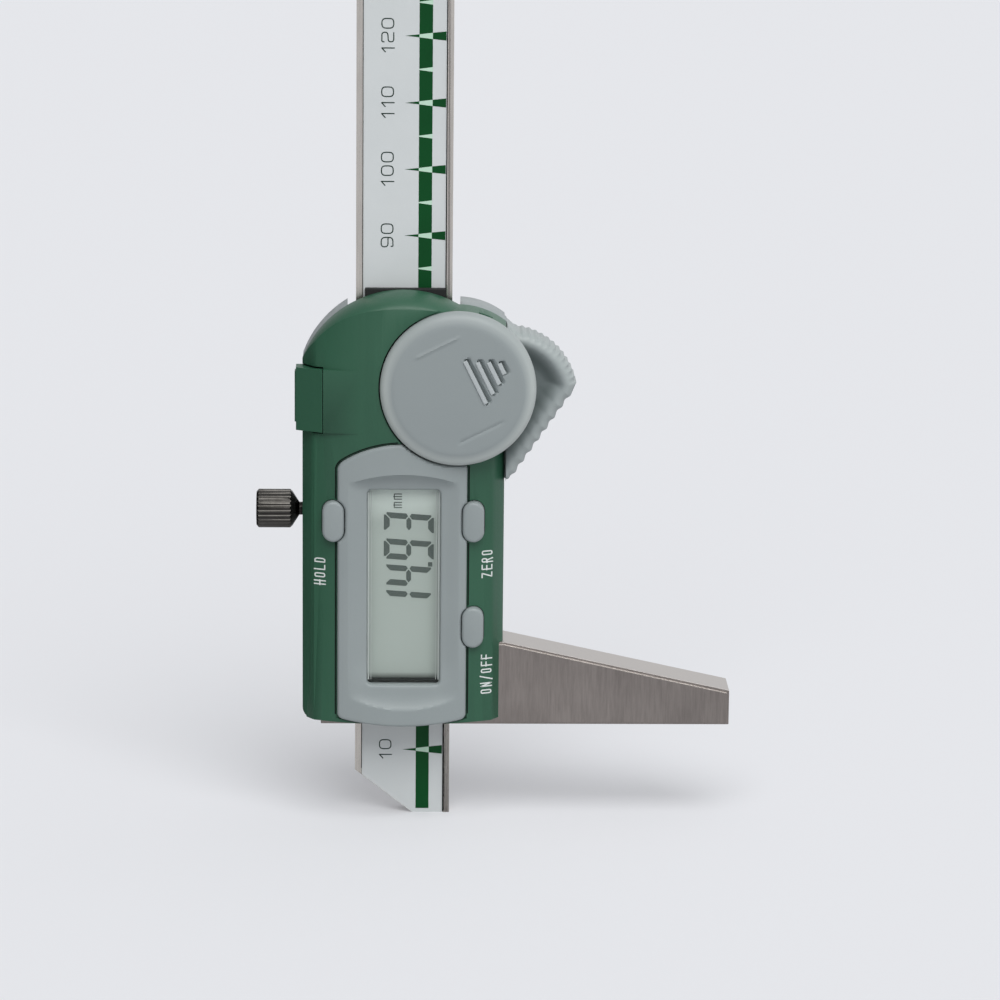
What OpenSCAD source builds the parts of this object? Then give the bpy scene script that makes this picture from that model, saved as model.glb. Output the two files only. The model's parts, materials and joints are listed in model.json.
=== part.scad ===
// Digital depth gauge with a one-sided base, in millimetres.
// x = 0 is the middle of the beam, y = 0 the middle of its thickness, and z = 0 the measuring
// face under the base. The display faces -y, and the beam is drawn standing out by the reading.

/* [Beam] */
// Width of the beam
beam_w = 14.5; // [13.5:0.25:15.5]
// Thickness of the beam
beam_t = 3.5; // [3:0.1:4]
// Length of the beam
beam_len = 230; // [225:1:260]
// Reading shown, the depth of the tip below the measuring face
reading = 14.93; // [2:0.01:60]
// Width of the slanted corner at the tip
tip_cut_w = 8.75; // [5:0.25:11]
// Height of the slanted corner at the tip
tip_cut_h = 6.8; // [4:0.2:9]
// Width of each steel rail beside the scale
rail_w = 1.0; // [0.7:0.1:1.6]
// Thickness of the glass-fibre scale strip
strip_t = 0.45; // [0.3:0.05:0.7]
// Thickness of the printed label
label_t = 0.15; // [0.1:0.05:0.25]
// Depth of the label below the rails
label_sunk = 0.1; // [0.05:0.05:0.2]
// Height of the stop plate at the beam's upper end
stop_h = 6; // [4:0.5:8]
// Thickness of the stop plate
stop_t = 1.2; // [0.8:0.1:1.6]

/* [Slider frame] */
// Width of the steel frame
frame_w = 24; // [23:0.5:25]
// Thickness of the frame's back wall
frame_back_t = 2; // [1.5:0.1:3]
// Top of the frame above the measuring face
frame_top = 59.5; // [58:0.5:60]
// Thickness of the gib strip beside the beam
gib_t = 0.6; // [0.4:0.1:0.8]
// Distance of the gib screws from the frame's two ends
gib_screw_in = 8; // [5:0.5:10]

/* [Base] */
// Length of the base from the beam's middle to its right end
base_reach = 50; // [35:1:75]
// Length of the base from the beam's middle to its left end
base_left = 12.45; // [12.2:0.1:14.5]
// Height of the base beside the housing
base_h = 12.9; // [11:0.1:13.5]
// Height of the base at its right end
base_end_h = 5.35; // [3.5:0.1:8]
// Thickness of the base
base_t = 8; // [7:0.25:9]
// Thickness of the bridge in front of the beam
bridge_t = 3; // [2:0.1:3.1]
// How far the screws reach into the base
base_screw_in = 4; // [3:0.1:4.5]
// How far the dowel pins reach into the base
base_pin_in = 3; // [2:0.1:4]
// Small chamfer round the base
base_edge = 0.35; // [0.1:0.05:0.6]

/* [Housing] */
// Width of the housing
housing_w = 30.5; // [29.5:0.5:33]
// Lower edge of the housing above the measuring face
housing_bottom = 1.2; // [0.6:0.1:3]
// Foremost height of the housing, in front of the beam's middle
housing_front = 9.6; // [9.4:0.1:10.4]
// Radius of the housing's curved front
housing_curve = 32.7; // [28:0.5:45]
// Radius of the dome at the top
dome_r = 16.4; // [16:0.1:18]
// Height of the dome's centre
dome_z = 50.7; // [50:0.1:52]
// Width of the rounded border round the dome
dome_border = 2.4; // [1.5:0.1:3]
// Radius that rounds the housing's two long edges
side_curve = 17.2; // [16.9:0.1:18.5]
// Distance of the housing's seam in front of the beam's middle
seam = 3; // [2.9:0.05:3.2]
// Space left open each side of the beam in the rear shell's top
rear_gap = 1.3; // [0.8:0.1:2]

/* [Thumb grip] */
// Distance of the grip's tip from the beam's middle
grip_reach = 26.05; // [24:0.05:29]
// Radius of the grip's upper edge
grip_r = 10.45; // [9.5:0.05:11.5]
// Height of the middle of that edge's arc
grip_z = 50.6; // [49.5:0.1:52]
// Lower end of the grip above the measuring face
grip_low = 38.2; // [37:0.1:42]
// Thickness of the grip
grip_t = 7; // [5:0.25:7.5]
// Number of teeth on each edge of the grip
grip_teeth = 8; // [5:1:10]
// Radius of a tooth
tooth_r = 0.55; // [0.4:0.05:0.7]
// Depth of the thumb's hollow
grip_dish = 1.5; // [0.5:0.1:2.2]

/* [Display] */
// Left edge of the display panel
panel_left = 9.97; // [9.6:0.01:10.2]
// Right edge of the display panel
panel_right = 9.65; // [9.4:0.01:10]
// Top of the panel's crown
panel_top = 44.7; // [43.5:0.1:45]
// Radius of the panel's crown
panel_crown = 16.2; // [14:0.2:20]
// Radius of the panel's lower edge
panel_foot = 48; // [30:1:80]
// Foremost height of the panel
panel_front = 10; // [9.8:0.05:10.6]
// Radius of the panel's curved front
panel_curve = 40; // [34:1:60]
// Height of the panel's back
panel_back = 7.6; // [7.4:0.05:7.8]
// Middle of the window to the right of the beam's middle
window_x = 0.1; // [-0.4:0.05:0.4]
// Width of the window
window_w = 11; // [10:0.1:12]
// Height of the window
window_h = 30.2; // [28:0.1:31]
// Lower edge of the window above the measuring face
window_z = 7.3; // [6.8:0.1:8]
// Depth of the hollow round the window
scoop_deep = 1.45; // [0.8:0.05:1.6]
// Width of the hollow's sloping side to the left and right of the window
scoop_side = 1.9; // [1:0.1:2.5]
// Height of the hollow above the window
scoop_up = 2.65; // [1.5:0.05:3]
// Height of the hollow below the window
scoop_down = 3.8; // [2:0.1:4.2]
// Thickness of the clear window
lens_t = 0.7; // [0.5:0.05:0.85]
// Thickness of the liquid crystal panel
lcd_t = 1.1; // [0.8:0.05:1.2]
// Border of the liquid crystal panel round the window
lcd_border = 2; // [1.5:0.1:2.2]

/* [Buttons] */
// Width of a button
button_w = 3.3; // [3:0.05:3.8]
// Height of a button
button_h = 6.25; // [5.5:0.05:6.5]
// Distance of the buttons from the beam's middle
button_x = 10.55; // [10.3:0.05:10.7]
// Height of the upper buttons above the measuring face
button_high = 32.6; // [31:0.1:35]
// Height of the lower button above the measuring face
button_low = 16.2; // [16.2:0.05:18]
// Foremost height of the buttons
button_front = 9.2; // [8.8:0.1:9.8]
// Travel of a button
button_travel = 0.35; // [0.2:0.05:0.4]

/* [Battery] */
// Diameter of the button cell
cell_d = 11.6; // [11:0.1:11.8]
// Thickness of the button cell
cell_t = 5.4; // [5:0.1:5.45]
// Battery to the right of the beam's middle
cell_x = 8.1; // [7.8:0.05:8.3]
// Height of the battery's middle
cell_z = 53.25; // [53:0.05:54.5]
// Radius of the battery cover
cover_r = 11.7; // [11.4:0.05:12]
// Foremost height of the battery cover
cover_front = 11.6; // [11.2:0.1:12]
// Thickness of the battery cover's plate
cover_plate = 1.3; // [0.9:0.1:1.8]
// Direction in which the cover slides off, up from level
cover_angle = 26.5; // [20:0.5:35]

/* [Lock screw and port] */
// Height of the lock screw above the measuring face
lock_z = 32.7; // [31:0.1:36]
// Diameter of the lock screw's head
lock_head_d = 5.9; // [5:0.1:6.4]
// Length of the lock screw's head
lock_head_len = 5.4; // [4:0.1:7]
// Distance of the head from the housing's side
lock_stand = 1.65; // [1.5:0.05:3]
// Diameter of the lock screw's shank
lock_shank_d = 2; // [1.6:0.1:2.2]
// Lower end of the port cover above the measuring face
port_z = 46.1; // [45.9:0.1:46.6]
// Height of the port cover
port_h = 9.6; // [9:0.1:9.8]
// Inner end of the port cover from the beam's middle
port_in = 12.1; // [12:0.05:12.4]
// How far the port cover stands out of the housing's side
port_out = 0.95; // [0.6:0.05:1.5]
// Height of the hump that carries the port
port_hump = 0.8; // [0.4:0.1:1]

/* [Fits] */
// Running clearance between the beam and its guides
run_gap = 0.05; // [0.03:0.01:0.1]
// Gap between the scale and the circuit board
sense_gap = 0.2; // [0.1:0.05:0.3]
// Gap round moulded pieces
mould_gap = 0.12; // [0.08:0.01:0.18]
// Gap round screws and pins in their holes
screw_gap = 0.04; // [0.02:0.01:0.08]

/* [Hidden] */
$fn = 72;
eps = 0.01;
big = 100;

// Beam
beam_low = -reading;
beam_high = beam_low + beam_len;
beam_face = -beam_t / 2;
groove_w = beam_w - 2 * rail_w;
groove_deep = strip_t + label_t + label_sunk;
groove_high = beam_high - stop_h - 2;
stop_screw_d = 1.6;

// Slider frame
frame_back_in = beam_t / 2 + run_gap;
frame_back = frame_back_in + frame_back_t;
board_back = beam_face - sense_gap;
board_t = 1;
board_front = board_back - board_t;
chip_z = 27;
right_guide = beam_w / 2 + run_gap;
left_guide = right_guide + gib_t + run_gap;
wall_mid = (frame_w / 2 + left_guide) / 2;
gib_zs = [base_h + gib_screw_in, frame_top - gib_screw_in];
gib_screw_d = 1.6;

// Base
base_face = -(beam_t / 2 + 0.15 + bridge_t);
slot_side = beam_w / 2 + 0.15;
slot_face = -(beam_t / 2 + 0.15);
slope_start = housing_w / 2 + 0.15;
tail_low = 0.6;
base_screw_d = 2;
base_screw_zs = [tail_low + 2.8, base_h - 2.8];

// Housing
seam_y = -seam;
low_back = base_face - 0.1;
housing_low = base_h + 0.1;
cavity_face = -6;
cavity_x = 12.9;
cavity_high = 41.5;
boss_d = 3.4;
housing_screw_d = 1.6;
housing_screw_at = [[-wall_mid, 24.5], [wall_mid, 24.5], [-wall_mid, 57], [wall_mid, 44]];

// Display
scoop_y = -(panel_front - scoop_deep);
lcd_face = -6.6;
gasket_side = window_w / 2 + lcd_border;

// Battery and its cover
well_face = -(housing_front - 0.6);
cover_back = well_face - 0.1;
cell_back = board_front - 0.65;
rail_in = 7.15;
rail_lip = 0.6;
rail_web = 0.85;
rail_deep = 1.5;
lip_t = 0.7;
rail_run = [-7, 3.5];

// Lock screw
lock_head_x = -(housing_w / 2 + lock_stand);
pad_gap = 0.1;
pad_len = 1;
pad_tip = -(left_guide - run_gap + pad_gap);

// Helpers
module plate(y0, y1) {
    translate([0, y1, 0]) rotate([90, 0, 0]) linear_extrude(y1 - y0) children();
}
module block(x0, x1, y0, y1, z0, z1) {
    translate([x0, y0, z0]) cube([x1 - x0, y1 - y0, z1 - z0]);
}
module rod_y(x, z, d, y0, y1) {
    translate([x, y1, z]) rotate([90, 0, 0]) cylinder(d = d, h = y1 - y0);
}
module rod_x(x0, x1, y, z, d) {
    translate([x0, y, z]) rotate([0, 90, 0]) cylinder(d = d, h = x1 - x0);
}
module stadium(w, h) {
    square([w, h - w], center = true);
    translate([0, (h - w) / 2]) circle(d = w);
    translate([0, -(h - w) / 2]) circle(d = w);
}
// Screw with a sunk head, its head's face at y = face and its point towards -y
module sunk_screw(x, z, d, face, len, gap = 0) {
    head_h = d / 2;
    rod_y(x, z, d + 2 * gap, face - len, face);
    translate([x, face, z]) rotate([90, 0, 0])
        cylinder(d1 = 1.85 * d + 2 * gap, d2 = d + 2 * gap, h = head_h);
}

// Beam and its scale
module beam_outline(side) {
    polygon([
        [side, beam_low], [side, beam_high], [-side, beam_high],
        [-side, beam_low + tip_cut_h * (1 - (beam_w / 2 - side) / tip_cut_w)],
        [tip_cut_w - beam_w / 2, beam_low]
    ]);
}
module groove_outline(high, play) {
    intersection() {
        beam_outline(groove_w / 2 - play);
        translate([-beam_w, beam_low - 1]) square([2 * beam_w, high - beam_low + 1]);
    }
}
module beam() {
    color("silver") difference() {
        plate(beam_face, beam_t / 2) beam_outline(beam_w / 2);
        plate(beam_face - 1, beam_face + groove_deep) groove_outline(groove_high, 0);
        for (side = [-1, 1])
            rod_y(side * beam_w / 4, beam_high - stop_h / 2, stop_screw_d + 2 * screw_gap,
                  beam_face - 1, beam_face + 2.2);
    }
}
module scale_board() {
    color("darkkhaki") plate(beam_face + groove_deep - strip_t, beam_face + groove_deep)
        groove_outline(groove_high, 0);
}
module scale_label() {
    color("white") plate(beam_face + label_sunk, beam_face + label_sunk + label_t)
        groove_outline(groove_high, 0.05);
}
module stop_plate() {
    color("dimgray") difference() {
        block(-beam_w / 2, beam_w / 2, beam_face - stop_t, beam_face,
              beam_high - stop_h, beam_high);
        for (side = [-1, 1])
            rod_y(side * beam_w / 4, beam_high - stop_h / 2, stop_screw_d + 2 * screw_gap,
                  beam_face - stop_t - 1, beam_face + 1);
    }
}
module stop_screws() {
    color("gray") for (side = [-1, 1]) {
        rod_y(side * beam_w / 4, beam_high - stop_h / 2, stop_screw_d,
              beam_face - stop_t, beam_face + 2);
        rod_y(side * beam_w / 4, beam_high - stop_h / 2, 2.8,
              beam_face - stop_t - 0.7, beam_face - stop_t);
    }
}

// Steel frame that runs on the beam, with a tail behind the base
module slider_frame() {
    color("lightsteelblue") difference() {
        union() {
            block(-frame_w / 2, frame_w / 2, frame_back_in, frame_back, tail_low, frame_top);
            block(right_guide, frame_w / 2, board_back, frame_back_in + 1, base_h, frame_top);
            block(-frame_w / 2, -left_guide, board_back, frame_back_in + 1, base_h, frame_top);
        }
        for (x = [-wall_mid, wall_mid]) for (z = base_screw_zs)
            sunk_screw(x, z, base_screw_d, frame_back, big, screw_gap);
        for (x = [-wall_mid, wall_mid])
            rod_y(x, (base_screw_zs[0] + base_screw_zs[1]) / 2, base_screw_d + 2 * screw_gap,
                  frame_back_in - 1, frame_back + 1);
        for (at = housing_screw_at)
            sunk_screw(at[0], at[1], housing_screw_d, frame_back, big, screw_gap);
        rod_x(-big, -left_guide + 1, 0, lock_z, lock_shank_d + 2 * screw_gap);
        for (z = gib_zs)
            rod_x(-big, -left_guide + 1, 0, z, gib_screw_d + 2 * screw_gap);
    }
}
module gib_strip() {
    color("goldenrod") block(-left_guide + run_gap, -right_guide, beam_face + 0.15,
                             beam_t / 2 - 0.15, base_h + 1, frame_top - 1);
}
module gib_screws() {
    color("dimgray") for (z = gib_zs)
        rod_x(-frame_w / 2 + 0.2, -left_guide + run_gap, 0, z, gib_screw_d);
}

// Base with its slanted arm
module base_outline(in) {
    polygon([
        [-base_left + in, in], [base_reach - in, in], [base_reach - in, base_end_h - in],
        [slope_start, base_h - in], [-base_left + in, base_h - in]
    ]);
}
module base() {
    color("lightgray") difference() {
        union() {
            plate(base_face + base_edge, base_face + base_t - base_edge) base_outline(0);
            plate(base_face, base_face + base_t) base_outline(base_edge);
        }
        block(-slot_side, slot_side, slot_face, big, -1, base_h + 1);
        block(-big, frame_w / 2 + 0.05, frame_back_in, big, -1, base_h + 1);
        for (x = [-wall_mid, wall_mid]) for (z = base_screw_zs)
            rod_y(x, z, base_screw_d + 2 * screw_gap, frame_back_in - base_screw_in - 0.2,
                  frame_back_in + 1);
        for (x = [-wall_mid, wall_mid])
            rod_y(x, (base_screw_zs[0] + base_screw_zs[1]) / 2, base_screw_d + 2 * screw_gap,
                  frame_back_in - base_pin_in - 0.2, frame_back_in + 1);
    }
}
module base_screws() {
    color("gray") for (x = [-wall_mid, wall_mid]) for (z = base_screw_zs)
        sunk_screw(x, z, base_screw_d, frame_back, frame_back_t + base_screw_in);
}
module base_pins() {
    color("silver") for (x = [-wall_mid, wall_mid])
        rod_y(x, (base_screw_zs[0] + base_screw_zs[1]) / 2, base_screw_d,
              frame_back_in - base_pin_in, frame_back);
}

// Electronics
module circuit_board() {
    color("darkgreen") difference() {
        block(-frame_w / 2 + 0.5, frame_w / 2 - 0.5, board_front, board_back,
              base_h + 2.2, frame_top - 0.5);
        for (at = housing_screw_at)
            rod_y(at[0], at[1], housing_screw_d + 0.2, board_front - 1, board_back + 1);
    }
}
module controller_chip() {
    color("black") {
        block(-3, 3, board_front - 1, board_front - 0.1, chip_z - 3, chip_z + 3);
        for (k = [-4 : 4]) {
            leg_z = chip_z + k * 0.6;
            block(-3.8, 3.8, board_front - 0.3, board_front, leg_z - 0.12, leg_z + 0.12);
        }
    }
}
module switch_domes() {
    color("silver") for (at = [[-button_x, button_high], [button_x, button_high],
                               [button_x, button_low]])
        translate([at[0], board_front, at[1]]) rotate([90, 0, 0]) {
            cylinder(r1 = 1.0, r2 = 0.8, h = 0.3);
            cylinder(r = 0.6, h = 0.5);
        }
}
module zebra_strip() {
    color("hotpink") block(window_x - 5.5, window_x + 5.5, lcd_face + lcd_t, board_front,
                           window_z + window_h, window_z + window_h + 1.6);
}
module display_rect(side, grow_z) {
    translate([window_x - side, window_z - grow_z])
        square([2 * side, window_h + 2 * grow_z]);
}
module lcd_panel() {
    color("darkseagreen") plate(lcd_face, lcd_face + lcd_t) display_rect(gasket_side, lcd_border);
}
module lcd_gasket() {
    color("black") plate(-panel_back, lcd_face) difference() {
        display_rect(gasket_side, lcd_border);
        display_rect(window_w / 2, 0);
    }
}
module lcd_window() {
    color("lightcyan") plate(scoop_y + 0.05, scoop_y + 0.05 + lens_t)
        display_rect(window_w / 2 - 0.05, -0.05);
}
module port_contacts() {
    out = frame_w / 2 - 0.6;
    color("gold") for (k = [0 : 3]) {
        z = port_z + port_h / 2 + (k - 1.5) * 1.5;
        block(-out, -out + 0.3, board_front - 3, board_front, z - 0.3, z + 0.3);
        block(-out, -out + 1.5, board_front - 0.25, board_front, z - 0.3, z + 0.3);
    }
}

// Housing shells
// The y of the housing's curved front at a distance from its middle
function front_at(x) = housing_curve - housing_front - sqrt(pow(housing_curve, 2) - pow(x, 2));
function border_arc(r, y0, steps) = [
    for (k = [0 : steps]) let (t = 90 * k / steps)
        [r - dome_border * (1 - cos(t)), y0 + (housing_front + 0.1 - y0) * sin(t)]
];
module body_outline(r, low) {
    intersection() {
        translate([-housing_w / 2, low]) square([housing_w, big]);
        union() {
            translate([-housing_w / 2, low]) square([housing_w, dome_z - low]);
            translate([0, dome_z]) circle(r = r);
        }
    }
}
module panel_outline(grow) {
    low = housing_bottom - 0.3 - grow;
    intersection() {
        translate([-panel_left - grow, low])
            square([panel_left + panel_right + 2 * grow, panel_top - low + grow]);
        translate([0, panel_top - panel_crown]) union() {
            circle(r = panel_crown + grow);
            translate([-big, -big]) square([2 * big, big]);
        }
        translate([0, low + panel_foot]) circle(r = panel_foot, $fn = 180);
    }
}
// The cover's own directions, along its slide and across it, with y from back to front
module at_cover() {
    translate([cell_x, 0, cell_z]) rotate([0, -cover_angle, 0]) children();
}
module rail_space(play) {
    at_cover() for (side = [-1, 1]) {
        in = rail_in - play;
        web = rail_in + rail_lip - play;
        out = rail_in + rail_lip + rail_web + play;
        run = [rail_run[0] - play, play > 0 ? big : rail_run[1]];
        deep = cover_back + rail_deep + play;
        block(run[0], run[1], cover_back + lip_t + 0.2 - play, deep,
              min(side * in, side * out), max(side * in, side * out));
        block(run[0], run[1], play > 0 ? -big : cover_back - eps, deep,
              min(side * web, side * out), max(side * web, side * out));
    }
}
// Flat-bottomed recess that the cover lies in, open in the direction of its slide
module cover_seat() {
    plate(-big, well_face) translate([cell_x, cell_z]) rotate(cover_angle) {
        circle(r = cover_r + 0.25);
        translate([0, -cover_r - 0.1]) square([big, 2 * cover_r + 0.2]);
    }
}
// Round boss that carries the cover where it reaches past the dome
module cover_boss(side, y0, y1) {
    intersection() {
        rod_y(cell_x, cell_z, 2 * cover_r - 0.1, y0, y1);
        block(-big, side, -big, big, 0, big);
    }
}
module button_hole(x, z) {
    plate(-big, cavity_face + 1) translate([x, z])
        stadium(button_w + 2 * mould_gap, button_h + 2 * mould_gap);
}
module front_form() {
    intersection() {
        plate(-big, seam_y) body_outline(dome_r, housing_bottom);
        translate([0, housing_curve - housing_front, 0])
            cylinder(r = housing_curve, h = big, $fn = 180);
        translate([0, 4, 0]) cylinder(r = side_curve, h = big, $fn = 120);
        union() {
            block(-big, big, -big, big, 0, dome_z);
            translate([0, 0, dome_z]) rotate([90, 0, 0]) rotate_extrude()
                polygon(concat([[0, 0], [dome_r, 0]], border_arc(dome_r, 4.5, 10),
                               [[0, housing_front + 0.1]]));
        }
    }
}
module port_hump_form() {
    start = 6.5;
    translate([0, 0, port_z]) linear_extrude(port_h) polygon([
        [-start, front_at(start)], [-port_in, front_at(port_in) - port_hump],
        [-port_in, front_at(port_in) + 1], [-start, front_at(start) + 1]
    ]);
}
module front_housing() {
    color("seagreen") difference() {
        union() {
            front_form();
            cover_boss(housing_w / 2, well_face, seam_y);
            port_hump_form();
        }
        // Room for the base, the circuit board's parts and the display
        block(-big, big, low_back, big, -1, housing_low);
        difference() {
            block(-cavity_x, cavity_x, cavity_face, big, housing_low, cavity_high);
            for (at = [housing_screw_at[0], housing_screw_at[1]])
                rod_y(at[0], at[1], boss_d, cavity_face - 1, big);
        }
        plate(-panel_back - eps, lcd_face + lcd_t + 0.05)
            display_rect(gasket_side + 0.1, lcd_border + 0.1);
        plate(-big, -panel_back) panel_outline(mould_gap);
        button_hole(-button_x, button_high);
        button_hole(button_x, button_high);
        button_hole(button_x, button_low);
        for (at = housing_screw_at)
            rod_y(at[0], at[1], housing_screw_d + 2 * screw_gap, cavity_face + 0.2, big);
        // Battery well, the cover's seat and the grooves of its rails
        rod_y(cell_x, cell_z, cell_d + 0.3, -big, big);
        at_cover() block(-cell_d / 2 - 0.75, 0, -housing_front + 1.5, big, -1.7, 1.7);
        cover_seat();
        rail_space(0.1);
        // Port at the left side
        block(-big, -port_in, -big, big, port_z - 0.3, port_z + port_h + 0.3);
        block(-port_in - 1, -9.6, -7, big, port_z + 0.6, port_z + port_h - 0.6);
    }
}
module display_panel() {
    color("darkgray") difference() {
        intersection() {
            plate(-big, -panel_back) panel_outline(0);
            translate([0, panel_curve - panel_front, 0])
                cylinder(r = panel_curve, h = big, $fn = 180);
        }
        intersection() {
            rotate([90, 0, 90]) translate([0, 0, -big]) linear_extrude(2 * big) polygon([
                [scoop_y, window_z], [scoop_y, window_z + window_h],
                [-panel_front - 1, window_z + window_h + scoop_up * (1 + 1 / scoop_deep)],
                [-panel_front - 1, window_z - scoop_down * (1 + 1 / scoop_deep)]
            ]);
            linear_extrude(big) polygon([
                [window_x - window_w / 2, scoop_y], [window_x + window_w / 2, scoop_y],
                [window_x + window_w / 2 + scoop_side * (1 + 1 / scoop_deep), -panel_front - 1],
                [window_x - window_w / 2 - scoop_side * (1 + 1 / scoop_deep), -panel_front - 1]
            ]);
        }
        plate(-big, big) display_rect(window_w / 2, 0);
        button_hole(-button_x, button_high);
        button_hole(button_x, button_high);
        button_hole(button_x, button_low);
        cover_seat();
        rod_y(cell_x, cell_z, cell_d + 0.3, -big, big);
        rail_space(0.1);
    }
}
// Thumb grip: an arc above, a straight edge below, and rounded teeth along both
function grip_arc(a, in) =
    [grip_reach - grip_r, grip_z] + (grip_r - in) * [cos(a), sin(a)];
grip_tip = [grip_reach - 0.26, grip_z + 2.4];
grip_end = [housing_w / 2 + 0.55, grip_low];
function grip_at_arc(k) = grip_arc(17 + 62 * k / (grip_teeth - 1), tooth_r - 0.3);
function grip_at_low(k) = let (t = (k + 1) / (grip_teeth + 0.75))
    grip_tip * (1 - t) + grip_end * t - [0.08, -0.06];
module grip_outline() {
    polygon(concat([[housing_w / 2 - 0.5, grip_low], grip_end, grip_tip],
                   [for (k = [0 : 12]) grip_arc(14 + 71 * k / 12, 0)],
                   [[housing_w / 2 - 3, grip_z + grip_r - 2]]));
    translate([cell_x, cell_z]) circle(r = cover_r - 0.05);
    for (k = [0 : grip_teeth - 1]) {
        translate(grip_at_arc(k)) circle(r = tooth_r, $fn = 24);
        translate(grip_at_low(k)) circle(r = tooth_r, $fn = 24);
    }
}
module rear_shell() {
    dish_r = (pow(7.4, 2) + pow(grip_dish, 2)) / (2 * grip_dish);
    grip_face = frame_back - 2.3 - grip_t;
    // Half the width of the room inside, which also clears the switch domes
    room = max(frame_w / 2 - 0.4, button_x + 1.1);
    color("darkgray") difference() {
        union() {
            plate(seam_y, frame_back) body_outline(dome_r - 0.15, housing_low);
            cover_boss(housing_w / 2, seam_y, frame_back);
            plate(grip_face, frame_back - 2.3) grip_outline();
        }
        block(-big, housing_w / 2 + 0.2, -big, seam_y, 0, big);
        block(-frame_w / 2 - 0.1, frame_w / 2 + 0.1, board_back, big, 0, frame_top + 0.1);
        block(-room, room, -big, big, 0, frame_top + 0.1);
        block(-beam_w / 2 - rear_gap, beam_w / 2 + rear_gap, -big, frame_back_in, 0, big);
        block(-beam_w / 2 - rear_gap, beam_w / 2 + rear_gap, 0, big, frame_top + 2.2, big);
        translate([grip_reach - 9.1, grip_face - dish_r + grip_dish, grip_z]) sphere(r = dish_r);
        rod_x(-big, 0, 0, lock_z, lock_shank_d + 0.9);
    }
}
module housing_screws() {
    color("gray") for (at = housing_screw_at)
        sunk_screw(at[0], at[1], housing_screw_d, frame_back, frame_back - cavity_face - 0.4);
}
module upper_wiper() {
    color("black") block(window_x - 6, window_x + 6.15, seam_y, beam_face - run_gap,
                         frame_top + 0.2, dome_z + dome_r + 0.1);
}
module lower_wiper() {
    color("black") block(-right_guide + 0.4, right_guide - 0.4, seam_y, beam_face - run_gap,
                         base_h, base_h + 2);
}

// Battery, its springs and its cover
module battery() {
    color("gainsboro") translate([cell_x, cell_back, cell_z]) rotate([90, 0, 0]) {
        cylinder(d = cell_d - 1.4, h = cell_t);
        translate([0, 0, 0.7]) cylinder(d = cell_d, h = cell_t - 0.7);
    }
}
module battery_contact_minus() {
    color("gold") at_cover() {
        block(-4.2, 4.2, cell_back, cell_back + 0.25, -1.5, 1.5);
        block(-4.2, -3.2, cell_back, board_front, -1.5, 1.5);
    }
}
module battery_contact_plus() {
    color("gold") at_cover() {
        block(-cell_d / 2 - 0.5, -cell_d / 2 - 0.2, cell_back - cell_t + 1.2, board_front,
              -1.5, 1.5);
    }
}
module battery_cover() {
    color("silver") difference() {
        union() {
            translate([cell_x, 0, cell_z]) rotate([90, 0, 0]) rotate_extrude()
                polygon([
                    [0, -cover_back], [cover_r, -cover_back], [cover_r, cover_front - 1.1],
                    [cover_r - 0.15, cover_front - 0.6], [cover_r - 0.5, cover_front - 0.25],
                    [cover_r - 1.1, cover_front], [0, cover_front]
                ]);
            rail_space(0);
        }
        difference() {
            rod_y(cell_x, cell_z, 2 * cover_r - 2.6, -cover_front + cover_plate, cover_back + 0.5);
            rod_y(cell_x, cell_z, cell_d - 2, -big, cover_back);
            at_cover() for (side = [-1, 1])
                block(-9, 9, -big, big, side * (rail_in + rail_lip + rail_web / 2) - 1.1,
                      side * (rail_in + rail_lip + rail_web / 2) + 1.1);
        }
    }
}

// Buttons
module button(x, z) {
    plate(-button_front, cavity_face + 0.2) translate([x, z]) stadium(button_w, button_h);
    block(x - button_w / 2 - 0.5, x + button_w / 2 + 0.5, cavity_face + 0.1, cavity_face + 0.7,
          z - button_h / 2 + 0.1, z + button_h / 2 - 0.1);
    rod_y(x, z, 2, cavity_face + 0.5, board_front - 0.5 - button_travel - 0.05);
}
module hold_button() {
    color("darkgray") button(-button_x, button_high);
}
module zero_button() {
    color("darkgray") button(button_x, button_high);
}
module on_off_button() {
    color("darkgray") button(button_x, button_low);
}

// Lock screw and the brass pad that it presses on the gib strip
module lock_pad() {
    color("goldenrod") rod_x(pad_tip - pad_len, pad_tip, 0, lock_z, lock_shank_d - 0.1);
}
module lock_screw() {
    flutes = 26;
    color("dimgray") difference() {
        union() {
            rod_x(lock_head_x, pad_tip - pad_len, 0, lock_z, lock_shank_d);
            translate([lock_head_x, 0, lock_z]) rotate([0, -90, 0]) rotate_extrude() polygon([
                [0, -1.1], [lock_shank_d / 2, -1.1], [lock_head_d / 2 - 0.3, -0.05],
                [lock_head_d / 2, 0.3], [lock_head_d / 2, lock_head_len - 0.35],
                [lock_head_d / 2 - 0.35, lock_head_len], [0, lock_head_len]
            ]);
        }
        for (k = [0 : flutes - 1])
            translate([0, 0, lock_z]) rotate([360 * k / flutes, 0, 0])
                rod_x(lock_head_x - big, lock_head_x, 0, lock_head_d / 2 + 0.1, 0.5);
    }
}

// Cover of the data port
module port_cover() {
    low = port_z;
    high = port_z + port_h;
    out = housing_w / 2 + port_out;
    face = front_at(port_in) - port_hump;
    color("seagreen") {
        translate([0, 0, low]) linear_extrude(port_h) polygon([
            [-port_in - 0.1, face], [-out, face + 2.2],
            [-out, seam_y - 0.1], [-port_in - 0.1, seam_y - 0.1]
        ]);
        block(-out - 0.2, -out + 0.1, face + 2.6, seam_y - 0.4, low + 1.2, high - 0.7);
        for (z = [low + 0.8, high - 1.6])
            block(-port_in - 0.2, -port_in + 2.2, seam_y - 2.4, seam_y - 1, z, z + 0.8);
    }
}

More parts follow.
